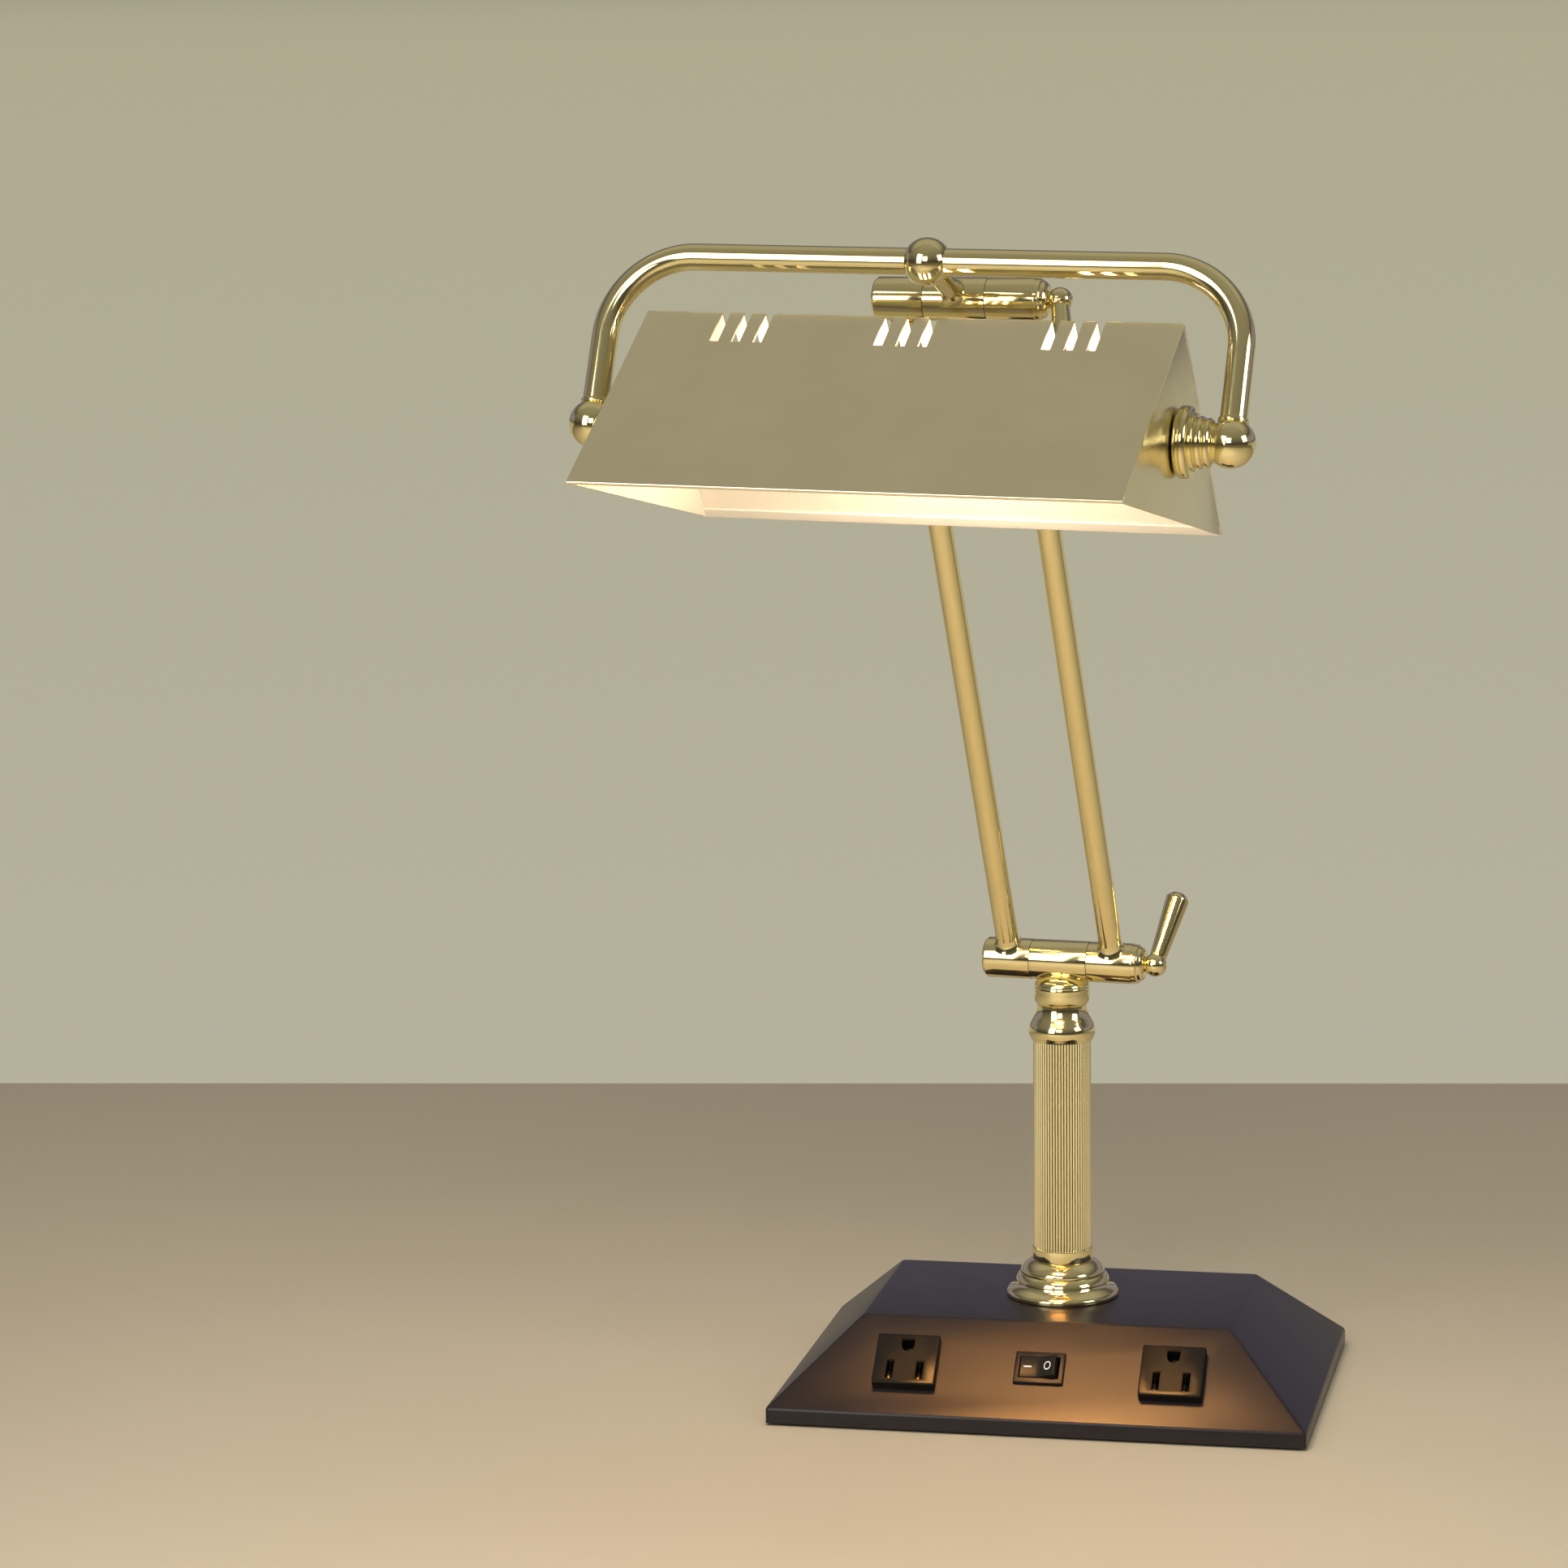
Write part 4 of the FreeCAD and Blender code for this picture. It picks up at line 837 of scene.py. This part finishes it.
# %% [markdown]
# ## Shade
# The shade is one sheet folded at the ridge, with both lower edges hemmed. Its section is traced
# from hem to hem, with the ridge and the hems as small arcs, and extruded along the shade in
# strips, so that the slots across the ridge are faces to delete. Solidify gives the sheet its
# thickness, and the side that faces the bulb is white enamel.

# %% Shade section
SLOT_GROUPS, SLOT_PITCH, SLOT_WIDTH, SLOT_LENGTH = (-65.5, 0.0, 65.5), 8.75, 3.5, 19.2
RIDGE_R, HEM_R = 1.2, 0.85


def panel_axes(side):
    """A panel's down way and outward way, as (y, z) pairs."""
    down = Vector((0, side * math.sin(SHADE_HALF_ANGLE), -math.cos(SHADE_HALF_ANGLE)))
    out = Vector((0, side * math.cos(SHADE_HALF_ANGLE), math.sin(SHADE_HALF_ANGLE)))
    return down, out


def half_section(side):
    """Points from the hem's inner edge up to where the ridge's arc begins."""
    down, out = panel_axes(side)
    ridge = Vector((0, 0, SHADE_PIVOT))
    fold = ridge + down * (SHADE_PANEL - HEM_R) - out * HEM_R
    points = [fold - out * HEM_R - down * (HEM_WIDTH - HEM_R)]
    for index in range(9):
        angle = math.pi * (1 - index / 8)
        points.append(fold + out * (HEM_R * math.cos(angle)) + down * (HEM_R * math.sin(angle)))
    points.append(ridge + down * SLOT_LENGTH)
    return points


def ridge_arc():
    centre = Vector((0, 0, SHADE_PIVOT - RIDGE_R / math.sin(SHADE_HALF_ANGLE)))
    points = []
    for index in range(7):
        angle = math.pi - SHADE_HALF_ANGLE + (2 * SHADE_HALF_ANGLE - math.pi) * index / 6
        points.append(centre + Vector((0, math.cos(angle), math.sin(angle))) * RIDGE_R)
    return points


# %% Shade shell
section = half_section(-1) + ridge_arc() + half_section(1)[::-1]
start_x = -SHADE_LENGTH / 2
sheet = trace("folded_shade", [(start_x, p.y, p.z) for p in section])
bpy.ops.mesh.select_all(action="SELECT")
slot_edges = sorted(group + step * SLOT_PITCH + half * SLOT_WIDTH / 2
                    for group in SLOT_GROUPS for step in (-1, 0, 1) for half in (-1, 1))
for here, there in zip([start_x] + slot_edges, slot_edges + [-start_x]):
    step_by((there - here, 0, 0))
bpy.ops.object.mode_set(mode="OBJECT")
slot_foot = SHADE_PIVOT - SLOT_LENGTH * math.cos(SHADE_HALF_ANGLE)


def in_slot(centre, normal):
    near = min(abs(centre.x - (group + step * SLOT_PITCH)) for group in SLOT_GROUPS for step in (-1, 0, 1))
    return near < SLOT_WIDTH / 2 and centre.z > slot_foot


choose(sheet)
select_faces(sheet, in_slot)
bpy.ops.mesh.delete(type="FACE")
bpy.ops.mesh.select_all(action="SELECT")
bpy.ops.mesh.normals_make_consistent(inside=False)
bpy.ops.object.mode_set(mode="OBJECT")
top_face = max(sheet.data.polygons, key=lambda face: face.center.z)
if top_face.normal.z < 0:
    bpy.ops.object.mode_set(mode="EDIT")
    bpy.ops.mesh.select_all(action="SELECT")
    bpy.ops.mesh.flip_normals()
    bpy.ops.object.mode_set(mode="OBJECT")
sheet.data.materials.append(SHADE_BRASS)
sheet.data.materials.append(ENAMEL)
apply_modifier(sheet, "SOLIDIFY", thickness=SHADE_SHEET * MM, offset=-1.0, material_offset=1,
               use_even_offset=True)
for face in sheet.data.polygons:
    centre = face.center / MM - Vector((0, 0, SHADE_PIVOT))
    down, out = panel_axes(-1 if centre.y < 0 else 1)
    if centre.dot(down) > SHADE_PANEL - HEM_WIDTH - 0.5 and -centre.dot(out - X * out.x) > 1.25:
        face.material_index = 1
finish_piece(sheet, SHADE, "shade", ["shade_shell"], [], 30)

# %% [markdown]
# The ends are triangles set between the panels, with a thin seam all round.

# %% Shade ends


def triangle(inset):
    """The end's corners, a little in from the panels."""
    down, out = panel_axes(-1)
    top = Vector((0, 0, SHADE_PIVOT - inset / math.sin(SHADE_HALF_ANGLE)))
    low = top + down * (SHADE_PANEL - inset)
    return [top, low, Vector((0, -low.y, low.z))]


for word, side in (("left", -1), ("right", 1)):
    corners = triangle(SHADE_SHEET + 0.05)
    outer = side * (SHADE_LENGTH / 2 - 0.25)
    end = trace("shade_end_" + word, [(outer, p.y, p.z) for p in corners + corners[:1]])
    bpy.ops.mesh.select_all(action="SELECT")
    bpy.ops.mesh.remove_doubles(threshold=2e-6)
    bpy.ops.mesh.edge_face_add()
    step_by((-side * SHADE_SHEET, 0, 0))
    mend()
    end.data.materials.append(SHADE_BRASS)
    end.data.materials.append(ENAMEL)
    apply_modifier(end, "BEVEL", width=0.15 * MM, segments=2)
    for face in end.data.polygons:
        face.material_index = 1 if face.normal.x * side < -0.9 else 0
    finish_piece(end, SHADE, "shade", ["end_plate_" + word], [])

# %% [markdown]
# ## Parts kept from the frame
# What is mostly hidden keeps its exact solid and gets a fitting finish.

# %% Finishes on frame parts
KEPT = {
    "base_plate": BLACK_PAINT, "shell_lugs": ZINC, "base_screws": ZINC, "counterweight": IRON,
    "wire_connectors": CONNECTOR, "outlet_contacts": SPRING, "lamp_pipe": ZINC, "pipe_washer": ZINC,
    "pipe_nut": ZINC, "column_leads": LEADS, "swivel_stem": ZINC, "swivel_nut": ZINC,
    "clamp_bolts": ZINC, "bulb_cap": SCREW_CAP,
}
for name, material in KEPT.items():
    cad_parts[name].data.materials.clear()
    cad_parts[name].data.materials.append(material)
print("kept:", len(KEPT), "frame parts")

# %% [markdown]
# ## Floor and light
# A plain pale floor and two soft boxes, one a little left of the camera and one far to the right:
# polished brass shows them as two bright squares in every ball. A broad dimmer panel on the left
# makes the long white band on the tubes. Two overhead lamps light the floor, and they are hidden
# from mirrors so that the metal keeps something dark to show between its highlights. A small orange
# lamp in the shade's mouth stands in for the bulb's warm glow. Only reflections see it, and it
# stays where it is when the lamp is posed.

# %% Floor
floor_finish = Finish("floor_paint")
FLOOR = floor_finish.surface({
    "Base Color": floor_finish.blend(floor_finish.noise(300, 2), (0.50, 0.43, 0.32), (0.54, 0.47, 0.35)),
    "Roughness": 0.6,
})
clear_selection()
bpy.ops.mesh.primitive_plane_add(size=12.0, location=(0, -5.4, 0))
bpy.ops.transform.rotate(value=math.radians(-8.8), orient_axis="Z", center_override=(0, 0, 0))
floor = bpy.context.object
floor.name = "floor"
floor.data.materials.append(FLOOR)

# %% Lights


def soft_box(name, azimuth, elevation, distance, size, power, colour=(1.0, 0.97, 0.92)):
    """A square lamp round the shade, seen from it at these angles, facing it."""
    a, e = math.radians(azimuth), math.radians(elevation)
    way = Vector((math.sin(a) * math.cos(e), -math.cos(a) * math.cos(e), math.sin(e)))
    lamp = bpy.data.objects.new(name, bpy.data.lights.new(name, "AREA"))
    lamp.data.shape = "RECTANGLE"
    lamp.data.size, lamp.data.size_y = size
    lamp.data.energy = power
    lamp.data.color = colour
    lamp.location = Vector((0, -0.15, 0.35)) + way * distance
    lamp.rotation_mode = "QUATERNION"
    lamp.rotation_quaternion = (-way).to_track_quat("-Z", "Y")
    bpy.context.scene.collection.objects.link(lamp)
    return lamp


soft_box("front_box", -2, 21, 2.0, (0.7, 0.7), 6)
soft_box("right_box", 73, 22, 1.9, (0.7, 0.7), 6)
soft_box("left_panel", -30, 20, 2.3, (0.9, 1.6), 15)
FLOOR_LAMPS = (("floor_fill", (0, -0.2, 1.4), 0.6, 4), ("front_pool", (0, -0.8, 0.8), 0.4, 7))
for name, place, size, power in FLOOR_LAMPS:
    lamp = soft_box(name, 0, 90, 1.0, (size, size), power)
    lamp.location = place
    lamp.visible_glossy = False
spill = soft_box("bulb_spill", 0, 90, 1.0, (0.15, 0.08), 2.6, (1.0, 0.41, 0.08))
spill.rotation_mode = "XYZ"
spill.matrix_world = SHADE @ moved(0, 0, -24)
spill.visible_camera = False
spill.visible_diffuse = False

# %% [markdown]
# The room is a sky with two sides. Behind the lamp it is pale below the horizon, dim just above and
# pale again overhead, where the shade's front looks. In front it is dim and grows lighter overhead.

# %% Room
world = bpy.data.worlds.new("room")
world.use_nodes = True
bpy.context.scene.world = world
tree = world.node_tree
tree.nodes.clear()
way = tree.nodes.new("ShaderNodeTexCoord")
split = tree.nodes.new("ShaderNodeSeparateXYZ")
tree.links.new(way.outputs["Generated"], split.inputs[0])


def scaled(socket, scale, shift):
    """A socket's value times scale plus shift, held between 0 and 1."""
    sum_node = tree.nodes.new("ShaderNodeMath")
    sum_node.operation = "MULTIPLY_ADD"
    sum_node.use_clamp = True
    sum_node.inputs[1].default_value, sum_node.inputs[2].default_value = scale, shift
    tree.links.new(socket, sum_node.inputs[0])
    return sum_node.outputs[0]


def sky_bands(stops):
    """Colours by height, from straight down at 0 to straight up at 1."""
    ramp = tree.nodes.new("ShaderNodeValToRGB")
    for index, (position, colour) in enumerate(stops):
        if index > 1:
            ramp.color_ramp.elements.new(1.0)
        ramp.color_ramp.elements[index].position = position
        ramp.color_ramp.elements[index].color = (*colour, 1)
    tree.links.new(scaled(split.outputs["Z"], 0.5, 0.5), ramp.inputs[0])
    return ramp.outputs[0]


BEHIND = sky_bands([(0.40, (0.47, 0.44, 0.34)), (0.495, (0.43, 0.40, 0.28)), (0.52, (0.09, 0.08, 0.09)),
                    (0.56, (0.27, 0.245, 0.31)), (0.66, (0.25, 0.23, 0.28)), (0.73, (0.08, 0.075, 0.075)),
                    (0.90, (0.40, 0.375, 0.31))])
BEFORE = sky_bands([(0.49, (0.08, 0.075, 0.06)), (0.53, (0.05, 0.048, 0.042)), (0.68, (0.16, 0.15, 0.12)),
                    (1.0, (0.32, 0.30, 0.24))])
sides = tree.nodes.new("ShaderNodeMix")
sides.data_type = "RGBA"
tree.links.new(scaled(split.outputs["Y"], 8.0, 0.4), sides.inputs[0])
tree.links.new(BEFORE, sides.inputs[6])
tree.links.new(BEHIND, sides.inputs[7])
sky = tree.nodes.new("ShaderNodeBackground")
out = tree.nodes.new("ShaderNodeOutputWorld")
tree.links.new(sides.outputs[2], sky.inputs["Color"])
tree.links.new(sky.outputs[0], out.inputs["Surface"])

# %% [markdown]
# ## View
# The scene is shown with the Standard view transform.

# %% View transform
bpy.context.scene.view_settings.view_transform = "Standard"
